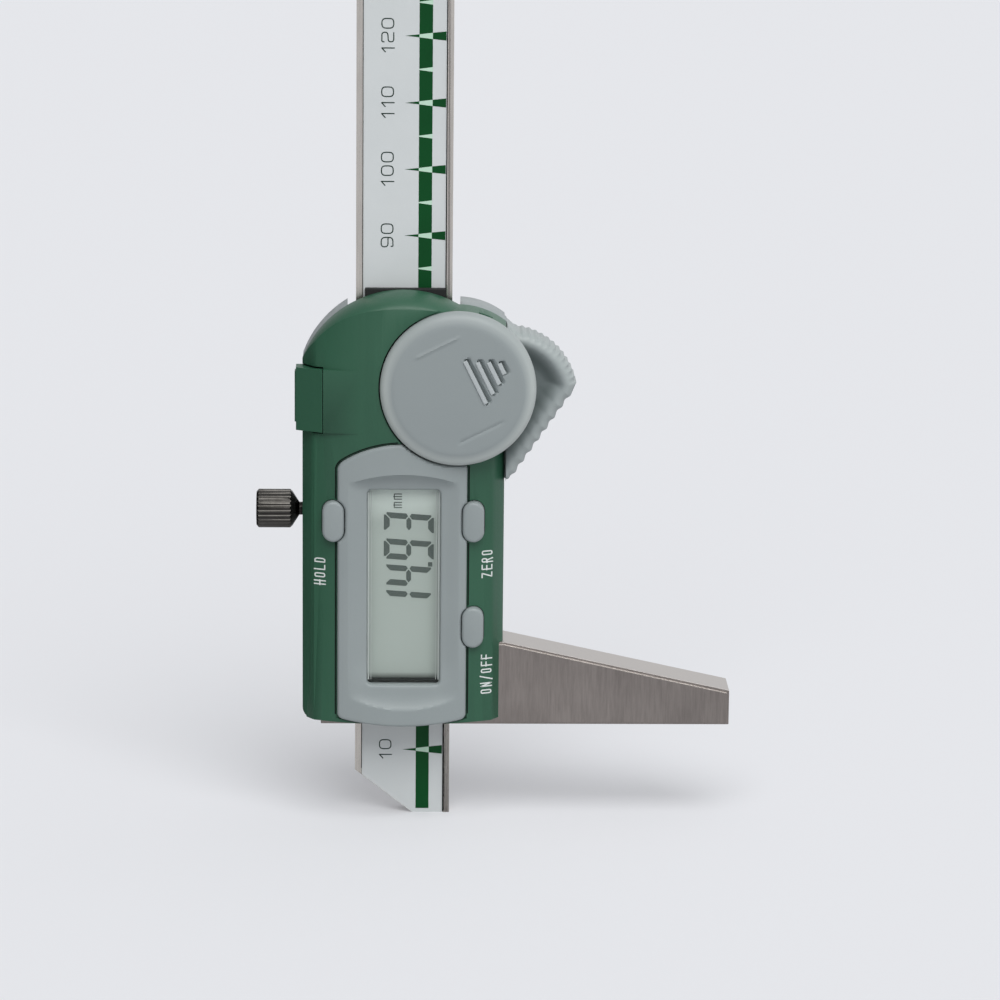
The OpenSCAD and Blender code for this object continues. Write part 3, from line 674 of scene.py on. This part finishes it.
def scale_print():
    """Band along the scale, wedges at each 5 and 10 mm, the numbers 10 to 150, and dark strips
    along the label's edges that are painted shadow of the gaps there.
    """
    dark = [box_outline(BAND_LEFT, BAND_RIGHT, BEAM_LOW + 0.6, LABEL_TOP - 0.4)]
    pale, numbers = [], []
    marks = BEAM_LOW + 10 * np.arange(1, 21)
    for z in marks:
        pale.append(wedge(BAND_LEFT, 0.22, BAND_RIGHT, 0.47, z))
        dark.append(wedge(0.0, 0, BAND_LEFT, 0.225, z))
        dark.append(wedge(BAND_RIGHT, 0.47, MARK_END, 0.68, z))
        if z + 5 < MARKS_TOP:
            pale.append(wedge(BAND_LEFT, 0.08, BAND_RIGHT, 0.35, z + 5))
    for k, z in enumerate(marks[:NUMBERS]):
        p, f, length = sign(str(10 * (k + 1)), wide=1.76, high=2.09, gap=0.28, pen=0.165,
                            radius=0.6, narrow={"1": 1.35})
        numbers.append((upward(p, NUMBER_FOOT, z - length / 2), f))
    # Painted shadow: dark strips in the gaps along both edges of the label.
    edges = [box_outline(-6.31, -6.2, -7.9, LABEL_TOP),
             box_outline(6.2, 6.36, BEAM_LOW + 0.2, LABEL_TOP)]
    for name, parts, y, ink in (("scale_band", dark, LABEL_Y, "dark_ink"),
                                ("scale_pale_wedges", pale, LABEL_Y - 0.021, "pale_ink"),
                                ("scale_numbers", numbers, LABEL_Y, "number_ink"),
                                ("label_edge_gap_shadow", edges, EDGE_SHADOW_Y, "shadow_line")):
        inked(name, parts, y, ink, "beam")


HOUSING_R, HOUSING_CROWN = 32.7, -9.6


def housing_front(x):
    """y of the housing's curved front, an arc round an upright axis."""
    return HOUSING_R + HOUSING_CROWN - np.sqrt(HOUSING_R ** 2 - np.asarray(x) ** 2)


def words():
    """HOLD, ZERO and ON/OFF, painted on the housing beside their buttons."""
    parts, gap = [], 0.24
    for text, x0, z0, z1 in (("HOLD", -11.65, 22.4, 26.75), ("ZERO", 13.62, 23.62, 27.97),
                             ("ON/OFF", 13.63, 5.38, 11.66)):
        wide = (z1 - z0 - gap * (len(text) - 1)) / len(text)
        p, f, _ = sign(text, wide, high=1.85, gap=gap, pen=0.19, radius=0.34)
        parts.append((upward(p, x0, z0), f))
    inked("button_words", parts, housing_front, "word_paint", "slider")


# Which of the seven bars each figure lights: a top, b and c upper left and right, d middle,
# e and f lower left and right, g bottom
BARS = {"1": "cf", "4": "bcdf", "9": "abcdfg", "3": "acdfg"}
DISPLAY_Y = -6.6


def display_figures():
    """The reading 14.93 mm as slanted seven-bar figures just in front of the display."""
    high, wide, lean, foot_x = 7.56, 3.14, math.tan(math.radians(4)), 4.63

    def bar(which):
        """Outline of a bar in a figure's box, with ends cut at 45 degrees."""
        m, t, g = high / 2, 0.88, 0.12
        blunt = t * 0.32
        shapes = {
            "a": [(g + blunt, high), (wide - g - blunt, high), (wide - g - blunt, high - blunt),
                  (wide - g - t, high - t), (g + t, high - t), (g + blunt, high - blunt)],
            "g": [(g + t, t), (wide - g - t, t), (wide - g - blunt, blunt),
                  (wide - g - blunt, 0), (g + blunt, 0), (g + blunt, blunt)],
            "d": [(g + t / 2, m), (g + t, m + t * 0.42), (wide - g - t, m + t * 0.42),
                  (wide - g - t / 2, m), (wide - g - t, m - t * 0.42), (g + t, m - t * 0.42)],
            "b": [(0, high - g - blunt), (0, m + g + blunt), (t * 0.45, m + g),
                  (t, m + t * 0.42 + g), (t, high - t - g), (blunt, high - g - blunt)],
            "e": [(0, m - g - blunt), (0, g + blunt), (blunt, g + blunt), (t, t + g),
                  (t, m - t * 0.42 - g), (t * 0.45, m - g)],
        }
        flip = {"c": "b", "f": "e"}
        p = np.array(shapes[flip.get(which, which)])
        return p * [-1, 1] + [wide, 0] if which in flip else p

    parts = []
    for figure, z0 in (("1", 18.17), ("4", 22.17), ("9", 26.2), ("3", 30.28)):
        for which in BARS[figure]:
            p = bar(which)
            p = np.c_[p[:, 0] + p[:, 1] * lean - high * lean / 2, p[:, 1]]
            parts.append((upward(p, foot_x, z0), [tuple(range(len(p)))]))
    dot, face = box_outline(-0.34, 0.34, 0.2, 0.86)
    parts.append((upward(dot, foot_x, 25.56), face))
    for z0 in (34.2, 35.5):
        p, f, _ = sign("m", wide=1.1, high=1.3, gap=0.2, pen=0.15, radius=0.02)
        parts.append((upward(p, -0.21, z0), f))
    inked("display_figures", parts, DISPLAY_Y - 0.01, "segment_ink", "slider",
          depth=0.03)


# ---------------- moulded pieces
def moulded_piece(name, shape, node, finish=None):
    """Links a moulding in its node's finish or its own, to stand for the node."""
    slot = SLOT_OF[node]
    piece = finished(name, from_arrays(name, *shape), BODY_OF[node], finish or slot)
    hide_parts(node)
    return piece


COVER_LOW, COVER_HIGH = box_mm("battery_cover")
COVER_R = (COVER_HIGH[0] - COVER_LOW[0]) / 2
COVER = np.array([COVER_LOW[0] + COVER_R, COVER_HIGH[2] - COVER_R])
COVER_BACK = -9.1
SLIDE = np.array([math.cos(math.radians(26.5)), math.sin(math.radians(26.5))])
ACROSS = np.array([-SLIDE[1], SLIDE[0]])
# Each rib of the cover's arrow: its middle along the slide and its two ends across it
RIBS = [(2.85, -3.55, 3.58), (4.42, -2.73, 2.6), (5.93, -1.8, 1.87), (7.28, -0.75, 1.0)]
RIB_HALF = 0.31


def rib_box(at, low, high, grow):
    """Corners of a rib's outline, grown by so many mm."""
    half = RIB_HALF + grow
    return np.array([COVER + SLIDE * u + ACROSS * v for u, v in (
        (at - half, low - grow), (at + half, low - grow),
        (at + half, high + grow), (at - half, high + grow))])


def cover_relief(x, z):
    """Height in mm of the hollow behind each rib and of the cover's two long lines: one
    stands up as a rounded ridge, the other lies below the face."""
    u = (x - COVER[0]) * SLIDE[0] + (z - COVER[1]) * SLIDE[1]
    v = (x - COVER[0]) * ACROSS[0] + (z - COVER[1]) * ACROSS[1]
    height = np.zeros(np.shape(x))
    for at, low, high in RIBS:
        ends = np.clip(np.minimum(v - low, high - v) / 0.25 + 1, 0, 1)
        hollow = np.clip((0.95 - (u - at)) / (0.95 - RIB_HALF), 0, 1) * (u > at)
        height -= 0.95 * hollow * ends
    for side, at, run in ((0.18, 7.22, (-3.98, 4.0)), (-0.16, -7.25, (-3.77, 4.34))):
        share = np.clip(1 - np.abs(v - at) / 0.24, 0, 1)
        ends = np.clip(np.minimum(u - run[0], run[1] - u) / 0.8, 0, 1)
        height += side * share * (2 - share) * ends
    return height


def cover_face(x, z):
    """y of the cover's face, which falls 0.2 mm from its middle to its rim, with the square
    of the distance."""
    return COVER_LOW[1] + 0.3 + 0.2 * ((x - COVER[0]) ** 2 + (z - COVER[1]) ** 2) / COVER_R ** 2


def painted_rim_highlight(f):
    """Share of the paler tone that is painted on the cover's rim as a highlight: it grows over the
    last 1.8 mm and is weakest at the top."""
    up = f.along("Z") - float(COVER[1])
    away = ((f.along("X") - float(COVER[0])) ** 2 + up ** 2) ** 0.5
    top = (up / float(COVER_R)).clipped()
    return ((away - float(COVER_R - 1.8)) * 0.9).clipped() * (0.85 - top * 0.67)


# Painted highlight: the cover's rim is painted paler.
FINISHES["cover_plastic"] = moulded(
    "grey_cover_plastic", (149, 157, 157), (139, 147, 149),
    tints=[((186, 193, 190), painted_rim_highlight)])


def battery_cover_cap():
    """Round cover with a wide soft rim and a dark line along its left, painted shadow of the gap
    round it. Its rails are cut from the CAD node."""
    cap = moulding(
        [arc(*COVER, COVER_R, step=0.3)],
        lambda p: np.linalg.norm(p - COVER, axis=-1) < COVER_R,
        lambda x, z: cover_face(x, z) - cover_relief(x, z)
        + 0.75 * eased((np.hypot(x - COVER[0], z - COVER[1]) - COVER_R + 2.3) / 3.2),
        level(COVER_BACK), 0.9, step=0.28,
        creases=[rib_box(*rib, -0.02) for rib in RIBS])
    moulded_piece("battery_cover_cap", cap, "battery_cover", "cover_plastic")
    # The ribs' paler finish is painted light on their tops.
    ribs = [moulding([rib_box(*rib, 0.02)], within(rib_box(*rib, 0.02)),
                     lambda x, z: cover_face(x, z) - 0.24, level(COVER_LOW[1] + 1.2), 0.14,
                     step=0.14) for rib in RIBS]
    moulded_piece("battery_cover_ribs", joined(ribs), "battery_cover", "painted_lit_ribs")
    # Painted shadow: a dark ring at the cap's back edge, in the gap round the cover.
    inked("battery_cover_gap_shadow", [stroke(arc(*COVER, COVER_R + 0.07, 122, 284), 0.2)],
          COVER_BACK + 0.03, "shadow_line", "battery_cover")
    rails = softened("battery_cover", 0.1)
    rails.name = "battery_cover_rails"
    cut_off(rails, (0, COVER_BACK + 0.02, 0), (0, -1, 0))


PANEL_LOW, PANEL_HIGH = box_mm("display_panel")
PANEL_BACK = -7.6
WINDOW_LOW, WINDOW_HIGH = box_mm("lcd_window")
WINDOW_BACK = WINDOW_HIGH[1]
BUTTONS = ("hold_button", "zero_button", "on_off_button")
CROWN, FOOT = 16.2, 48.0
SEAT_R = COVER_R + 0.25
SEAT_Y = -9.0
SCOOP_Y = -8.55
# Lowest z of the painted gap shadow round the panel
GAP_SHADOW_LOW = 2.4
BUTTON_GAP, CAP_BACK = 0.12, -7.0


def panel_front(x):
    """y of the panel's curved front, an arc of radius 40 whose crown lies foremost."""
    return PANEL_LOW[1] + 40 - np.sqrt(40 ** 2 - np.asarray(x) ** 2)


def button_shape(node):
    """Middle x and z, half width and half height of a button's cap, from the node's box."""
    low, high = box_mm(node)
    cx, _, cz = (low + high) / 2
    return cx, cz, (high[0] - low[0]) / 2 - 0.5, (high[2] - low[2]) / 2


def button_outline(node, gap):
    """Outline of a button's cap, grown by gap."""
    cx, cz, half, up = button_shape(node)
    return stadium(cx, cz, 2 * (half + gap), 2 * (up + gap))


def in_stadium(p, node, gap):
    """Test for points inside that outline."""
    cx, cz, half, up = button_shape(node)
    r = half + gap
    x, z = p[..., 0] - cx, p[..., 1] - cz
    return np.hypot(x, z - np.clip(z, r - up - gap, up + gap - r)) < r


def panel_outline(inset):
    """The panel's outline drawn in by inset mm: an arc above and below, straight sides, and
    four blunt corners."""
    x0, x1 = PANEL_LOW[0] + inset, PANEL_HIGH[0] - inset
    crown_z, crown_r = PANEL_HIGH[2] - CROWN, CROWN - inset
    foot_z, foot_r = PANEL_LOW[2] + FOOT, FOOT - inset
    r = 1.0

    def crown(x):
        return crown_z + math.sqrt(crown_r ** 2 - x * x)

    def foot(x):
        return foot_z - math.sqrt(foot_r ** 2 - x * x)

    def degrees(x, radius):
        return math.degrees(math.asin(x / radius))

    return np.concatenate([
        arc(0, crown_z, crown_r, 90 - degrees(x1 - r, crown_r), 90 - degrees(x0 + r, crown_r), 0.3),
        bend((x0 + r, crown(x0 + r)), (x0, crown(x0)), (x0, crown(x0) - r)),
        bend((x0, foot(x0) + r), (x0, foot(x0)), (x0 + r, foot(x0 + r))),
        arc(0, foot_z, foot_r, 270 + degrees(x0 + r, foot_r), 270 + degrees(x1 - r, foot_r), 0.4),
        bend((x1 - r, foot(x1 - r)), (x1, foot(x1)), (x1, foot(x1) + r)),
        bend((x1, crown(x1) - r), (x1, crown(x1)), (x1 - r, crown(x1 - r)))])


def panel_gap_shadow():
    """Painted shadow of the gap round the panel: a dark ribbon on the housing's curved front that
    follows the panel's outline, left out at the buttons, below the cover and along the foot."""
    line = walk(panel_outline(-0.265), 0.25)
    free = (np.linalg.norm(line - COVER, axis=1) > SEAT_R + 0.15) & (line[:, 1] > GAP_SHADOW_LOW)
    for node in BUTTONS:
        free &= ~in_stadium(line, node, 0.13)
    turn = int(np.argmin(free))
    line, free = np.roll(line, -turn, 0), np.roll(free, -turn)
    breaks = np.flatnonzero(np.diff(free.astype(int))) + 1
    runs = [run for run, ok in zip(np.split(line, breaks), np.split(free, breaks))
            if ok[0] and len(run) > 2]
    inked("panel_gap_shadow", [stroke(run, 0.165) for run in runs],
          lambda x: housing_front(x) - 0.004, "shadow_line", "slider")


def housing_skirt():
    """The housing's left wall beside the base: it goes on down to the housing's lower edge,
    on the side curve of radius 17.2 whose middle lies 4 mm behind the beam."""
    low, high = box_mm("front_housing")
    x0, x1, z0, z1 = low[0], -12.75, low[2] + 0.1, box_mm("rear_shell")[0][2] + 0.1
    outline = np.concatenate([[(x1, z0), (x1, z1), (x0, z1), (x0, z0 + 1.2)],
                              bend((x0, z0 + 1.2), (x0, z0 + 0.1), (x0 + 1.0, z0)),
                              [(x0 + 1.0, z0)]])
    skirt = moulding([outline], within(outline),
                     lambda x, z: np.maximum(4 - np.sqrt(17.205 ** 2 - x * x), -5.35),
                     level(high[1]), 0.02, soft=0.2, step=0.3)
    moulded_piece("housing_left_skirt", skirt, "front_housing")


def port_lip():
    """Strip of housing that fills the rounded edge beside the port cover's inner end."""
    (_, front, low), (end, _, high) = box_mm("port_cover")
    inked("port_edge_lip", [box_outline(end + 0.02, end + 0.36, low, high)], front + 0.8,
          "green_plastic", "slider", depth=0.785)


def display_bezel():
    """Grey panel round the window: the CAD outline drawn in by a hair, rounded along its rim,
    with a soft hollow round the window that is deepest at the glass. A groove lets the
    cover's lower rail through."""
    wx0, wx1 = WINDOW_LOW[0] - 0.02, WINDOW_HIGH[0] + 0.02
    wz0, wz1 = WINDOW_LOW[2] - 0.02, WINDOW_HIGH[2] + 0.02
    mid = (wx0 + wx1) / 2
    outline = panel_outline(0.03)
    in_outline = within(outline)
    window, in_window = round_box(wx0, wx1, wz0, wz1, 0.6)
    end, far, near = -7.15, -8.75, -7.0
    groove = np.array([COVER + SLIDE * u + ACROSS * v for u, v in (
        (end, far), (0.0, far), (0.0, near), (end, near))])

    def inside(p):
        away = p - COVER
        u, v = away @ SLIDE, away @ ACROSS
        held = in_outline(p) & ~in_window(p)
        held &= ~((u > end) & (v > far) & (v < near) & (u < 0))
        for node in BUTTONS:
            held &= ~in_stadium(p, node, BUTTON_GAP)
        return held

    def scoop_edges(x):
        bow = (x - mid) ** 2
        return 40.14 - 0.0227 * bow, 3.51 + 0.0263 * bow

    slope = 2.9
    side = wx1 - mid + slope

    def front(x, z):
        up, down = scoop_edges(x)
        top, low, flank = (1 - np.clip(part, 0, 1) for part in (
            (up - z) / (up - wz1), (z - down) / (wz0 - down), (side - np.abs(x - mid)) / slope))
        low = 0.55 * (1 - low ** 3) + 0.45 * eased((z - wz0 + 1.0) / 5)
        depth = (1 - top ** 2) * low * (1 - flank ** 2)
        face = panel_front(x)
        y = face + (SCOOP_Y - face) * depth
        away = np.hypot(x - COVER[0], z - COVER[1]) - SEAT_R
        y = np.where(away > -0.01, y + rolled(np.maximum(away, 0), 0.3), np.maximum(y, SEAT_Y))
        return y

    xs = np.linspace(-side, side, 36) + mid
    scoop = np.concatenate([np.c_[xs, scoop_edges(xs)[0]], np.c_[xs, scoop_edges(xs)[1]][::-1]])
    seat = [arc(*COVER, r, 235, 290, 0.3) for r in (SEAT_R, SEAT_R - 0.02)]
    holes = [button_outline(node, BUTTON_GAP) for node in BUTTONS]
    panel = moulding([outline, window, groove] + holes, inside, front, level(PANEL_BACK), edge=0.4,
                     step=0.34, creases=[scoop] + seat)
    moulded_piece("display_bezel", panel, "display_panel")


def window_trims():
    """Pale flat strips along the window's upright sides, in its back face, that are painted
    highlights of bevelled edges, and the black lip of the gasket that shows below the display
    glass."""
    x0, x1 = WINDOW_LOW[0], WINDOW_HIGH[0]
    z0, z1 = WINDOW_LOW[2], WINDOW_HIGH[2]
    # Painted highlights: flat pale strips where the window's bevelled edges would catch the light.
    strips = [box_outline(a, b, z0 + 0.5, z1 - 0.35) for a, b in (
        (x0 + 0.04, x0 + 0.25), (x0 + 0.5, x0 + 0.58), (x1 - 0.25, x1 - 0.04),
        (x1 - 0.58, x1 - 0.5))]
    inked("window_side_highlights", strips, WINDOW_BACK + 0.04, "lens_edge_highlight", "slider",
          depth=0.03)
    lip, in_lip = round_box(x0 + 0.12, x1 - 0.12, z0 - 0.02, z0 + 0.48, 0.2)
    shape = moulding([lip], in_lip, level(WINDOW_BACK + 0.06), level(DISPLAY_Y - 0.04),
                     0.1, step=0.2)
    finished("gasket_lip", from_arrays("gasket_lip", *shape), "slider",
             "shadow_line")


def push_buttons():
    """Pillow-shaped caps over stems that are cut from the CAD nodes. A cap's face falls
    0.22 mm to its sides and 0.12 mm to its ends, with the square of the distance."""
    for node in BUTTONS:
        cx, cz, half, up = button_shape(node)
        low = box_mm(node)[0][1]
        cap = moulding([button_outline(node, 0.0)], lambda p: in_stadium(p, node, 0.0),
                       lambda x, z: low + 0.22 * ((x - cx) / half) ** 2
                       + 0.12 * ((z - cz) / up) ** 2,
                       level(CAP_BACK), 0.42, step=0.22)
        moulded_piece(node + "_cap", cap, node)
        stem = softened(node, 0.1)
        stem.name = node + "_stem"
        cut_off(stem, (0, CAP_BACK - 0.05, 0), (0, -1, 0))


GRIP_MID, GRIP_R = np.array([15.6, 50.6]), 10.6
GRIP_TIP, GRIP_END = np.array([25.93, 52.9]), np.array([15.95, 38.25])
GRIP_X = 15.47
GRIP_FRONT, GRIP_BACK = -5.5, 1.5
WAVE = 1.07


def grip_outlines():
    """The toothed outline of the thumb grip: eight steps down its straight lower edge, and
    low waves along the arc above."""
    first, pitch, tread = np.array([[25.11, 51.06], [-1.153, -1.679], [-0.84, -0.44]])
    steps = [p for k in range(8) for p in (first + k * pitch, first + k * pitch + tread)]
    lower = rounded([GRIP_TIP] + steps + [GRIP_END, (GRIP_X, 38.2)], 0.3, steps=4)
    angles = np.radians(np.linspace(83, 14, 150))
    wave = 0.11 * np.cos(2 * np.pi * (angles - angles[-1]) * GRIP_R / WAVE)
    waves = GRIP_MID + (GRIP_R + wave)[:, None] * np.c_[np.cos(angles), np.sin(angles)]
    r = COVER_R - 0.05
    shoulder = arc(*COVER, r, 51, 39, 0.3)
    shoulder = shoulder[(shoulder[:, 0] > GRIP_X)
                        & (np.linalg.norm(shoulder - GRIP_MID, axis=1) > GRIP_R)]
    start = [[GRIP_X, COVER[1] + math.sqrt(r ** 2 - (GRIP_X - COVER[0]) ** 2)]]
    upper = np.concatenate([start, shoulder, waves[waves[:, 0] > shoulder[-1, 0] + 0.1]])
    return np.concatenate([upper, lower[1:]])[::-1]


def share_of(name):
    """Share of a tint from the piece's own attribute."""
    return lambda f: f.add("Attribute", out="Fac", attribute_name=name)


# Painted light: the darker tint is painted shade in the thumb's hollow, the paler one a painted
# highlight along the toothed edge.
FINISHES["grip_plastic"] = moulded(
    "grey_grip_plastic", (152, 160, 160), (142, 151, 152),
    tints=[((104, 113, 113), share_of("hollow")),
           ((164, 172, 171), share_of("edge"))])


def thumb_grip():
    """Grip beside the dome: its toothed edge rolls off in front over 1.6 mm and behind over 1 mm,
    and a thumb's hollow deepens from that edge towards the cover. The attributes hollow and edge
    give the shares of its painted shade in the hollow and its painted highlight along the edge."""
    outline = grip_outlines()
    a, b = sides_of([outline])
    outer = (a[:, 0] > GRIP_X + 0.01) | (b[:, 0] > GRIP_X + 0.01)
    a, b = a[outer], b[outer]

    def front(x, z):
        d = distance(np.c_[x, z], a, b)
        return GRIP_FRONT + rolled(d, 1.6) + 1.5 * eased((d - 1.1) / 3.4)

    def back(x, z):
        return GRIP_BACK - rolled(distance(np.c_[x, z], a, b), 1.0)

    grip = moulding([outline], within(outline), front, back, 0.02, soft=1.6, step=0.3)
    piece = moulded_piece("thumb_grip", grip, "rear_shell", "grip_plastic")
    points = np.array(grip[0])
    d = distance(points[:, [0, 2]], a, b)
    # Shares of the painted shade in the hollow and of the painted highlight along the edge.
    for name, values in (("hollow", eased((d - 1.2) / 2.2) * (points[:, 1] < -1.0)),
                         ("edge", 1 - eased((d - 0.7) / 1.2))):
        piece.data.attributes.new(name, "FLOAT", "POINT").data.foreach_set("value", values)
    shell = softened("rear_shell", 0.3, 3)
    cut_off(shell, (GRIP_X, 0, 0), (1, 0, 0))


# ---------------- CAD nodes
for node, cad in NODES.items():
    for held in cad.material_slots:
        held.material = FINISHES[SLOT_OF[node]]

softened("beam", 0.12, plain=False)
softened("base", 0.2, finish="ground_base")
softened("front_housing", 0.22, 3, plain=False)
softened("port_cover", 0.05)
port_lip()
housing_skirt()
display_bezel()
panel_gap_shadow()
window_trims()
battery_cover_cap()
push_buttons()
thumb_grip()
softened("lock_screw", 0.05)
softened("stop_plate", 0.12)
softened("slider_frame", 0.12)
softened("upper_wiper", 0.15)
scale_print()
words()
display_figures()


# ---------------- stage
def axes_at(x, y, z, place=(0, 0, 0)):
    """Matrix that turns an object's axes to x, y and z and puts it at place, in mm."""
    turn = np.eye(4)
    turn[:3] = np.stack([x, y, z, np.array(place) * MM], 1)
    return Matrix(turn.tolist())


def sheet(name, corners):
    """Flat stage object of four corners in metres."""
    mesh = bpy.data.meshes.new(name)
    mesh.from_pydata(corners, [], [(0, 1, 2, 3)])
    made = linked(name, mesh)
    return made


def photo_camera():
    """Camera 660 mm in front and 183 mm up, turned 1.475 degrees right, 12.72 down and
    0.544 about its own line of sight."""
    yaw, pitch, roll = np.radians([1.475, 12.72, 0.544])
    forward = np.array([np.sin(yaw) * np.cos(pitch), np.cos(yaw) * np.cos(pitch),
                        -np.sin(pitch)])
    flat = np.array([np.cos(yaw), -np.sin(yaw), 0])
    above = np.cross(flat, forward)
    right = flat * np.cos(roll) + above * np.sin(roll)
    up = above * np.cos(roll) - flat * np.sin(roll)
    lens = bpy.data.cameras.new("photo_camera")
    lens.sensor_width, lens.lens, lens.clip_start, lens.clip_end = 36, 159.8, 0.01, 60
    camera = linked("photo_camera", lens)
    camera.matrix_world = axes_at(right, up, -forward, (-2.24, -659.78, 183.07))
    bpy.context.scene.camera = camera


def pale_floor():
    """Wide pale floor under the beam's tip. It glows a little to the camera only, so that it
    meets the background and keeps the gauge's shadow."""
    z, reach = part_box("beam")[0].z, 14.0
    floor = sheet("floor", [(x * reach, y * reach, z) for x, y in (
        (-1, -1), (1, -1), (1, 1), (-1, 1))])
    f = Finish("pale_floor", Roughness=0.9, Specular_IOR_Level=0.1,
               Emission_Color=shade(234, 235, 238))
    seen = f.add("LightPath", out="Is Camera Ray")
    cloud = f.speckle(400, detail=2.0)
    f.feed(Base_Color=f.blended((cloud * 0.1).clipped(), (207, 208, 211),
                                (202, 203, 206)),
           Emission_Strength=seen * 0.24)
    floor.data.materials.append(f.material)


def dark_card():
    """Dark card close to the gauge's left that only reflections see."""
    x, near, far, low, high = (v * MM for v in (-42, -40, 50, -15, 72))
    card = sheet("dark_card", [(x, near, low), (x, far, low), (x, far, high), (x, near, high)])
    f = Finish("dark_card", Roughness=0.8, Specular_IOR_Level=0.1)
    f.feed(Base_Color=f.blended(f.speckle(20), (96, 94, 92), (84, 82, 80)))
    card.data.materials.append(f.material)
    card.visible_camera = card.visible_diffuse = card.visible_shadow = False
    card.visible_transmission = False


def studio_light():
    """Even pale sky with one wide soft lamp above and in front. Matt faces get 0.68 of what
    the sky shows to the camera and in reflections, and it dims to a quarter at the left."""
    world = bpy.data.worlds.new("studio")
    bpy.context.scene.world = world
    sky = Nodes(world)
    camera, mirror, glass = (sky.add("LightPath", out=f"Is {ray} Ray")
                             for ray in ("Camera", "Glossy", "Transmission"))
    seen = sky.add("MapRange", {"To Min": 0.68, "Value": camera.maths(
        "MAXIMUM", camera.maths("MAXIMUM", camera, mirror), glass)})
    x = sky.add("SeparateXYZ", {0: sky.add("TexCoord", out="Generated")}, out="X")
    left = sky.add("MapRange", {"Value": x, "From Min": -0.85, "From Max": 0.25,
                                "To Min": 0.25}, interpolation_type="SMOOTHSTEP")
    shown = sky.add("Background", {"Color": shade(232, 233, 236),
                                   "Strength": seen * camera.maths("MAXIMUM", left, camera)})
    out = sky.tree.nodes.new("ShaderNodeOutputWorld")
    sky.tree.links.new(shown.socket, out.inputs["Surface"])
    lamp = bpy.data.lights.new("soft_lamp", "SUN")
    lamp.energy = 2.05
    lamp.angle = math.radians(50)
    away = np.array([0.12, -0.74, 1.0])
    away /= np.linalg.norm(away)
    across = np.cross([0, 1, 0], away)
    across /= np.linalg.norm(across)
    linked("soft_lamp", lamp).matrix_world = axes_at(across, np.cross(away, across), away)


photo_camera()
pale_floor()
dark_card()
studio_light()
bpy.context.scene.view_settings.view_transform = "Standard"
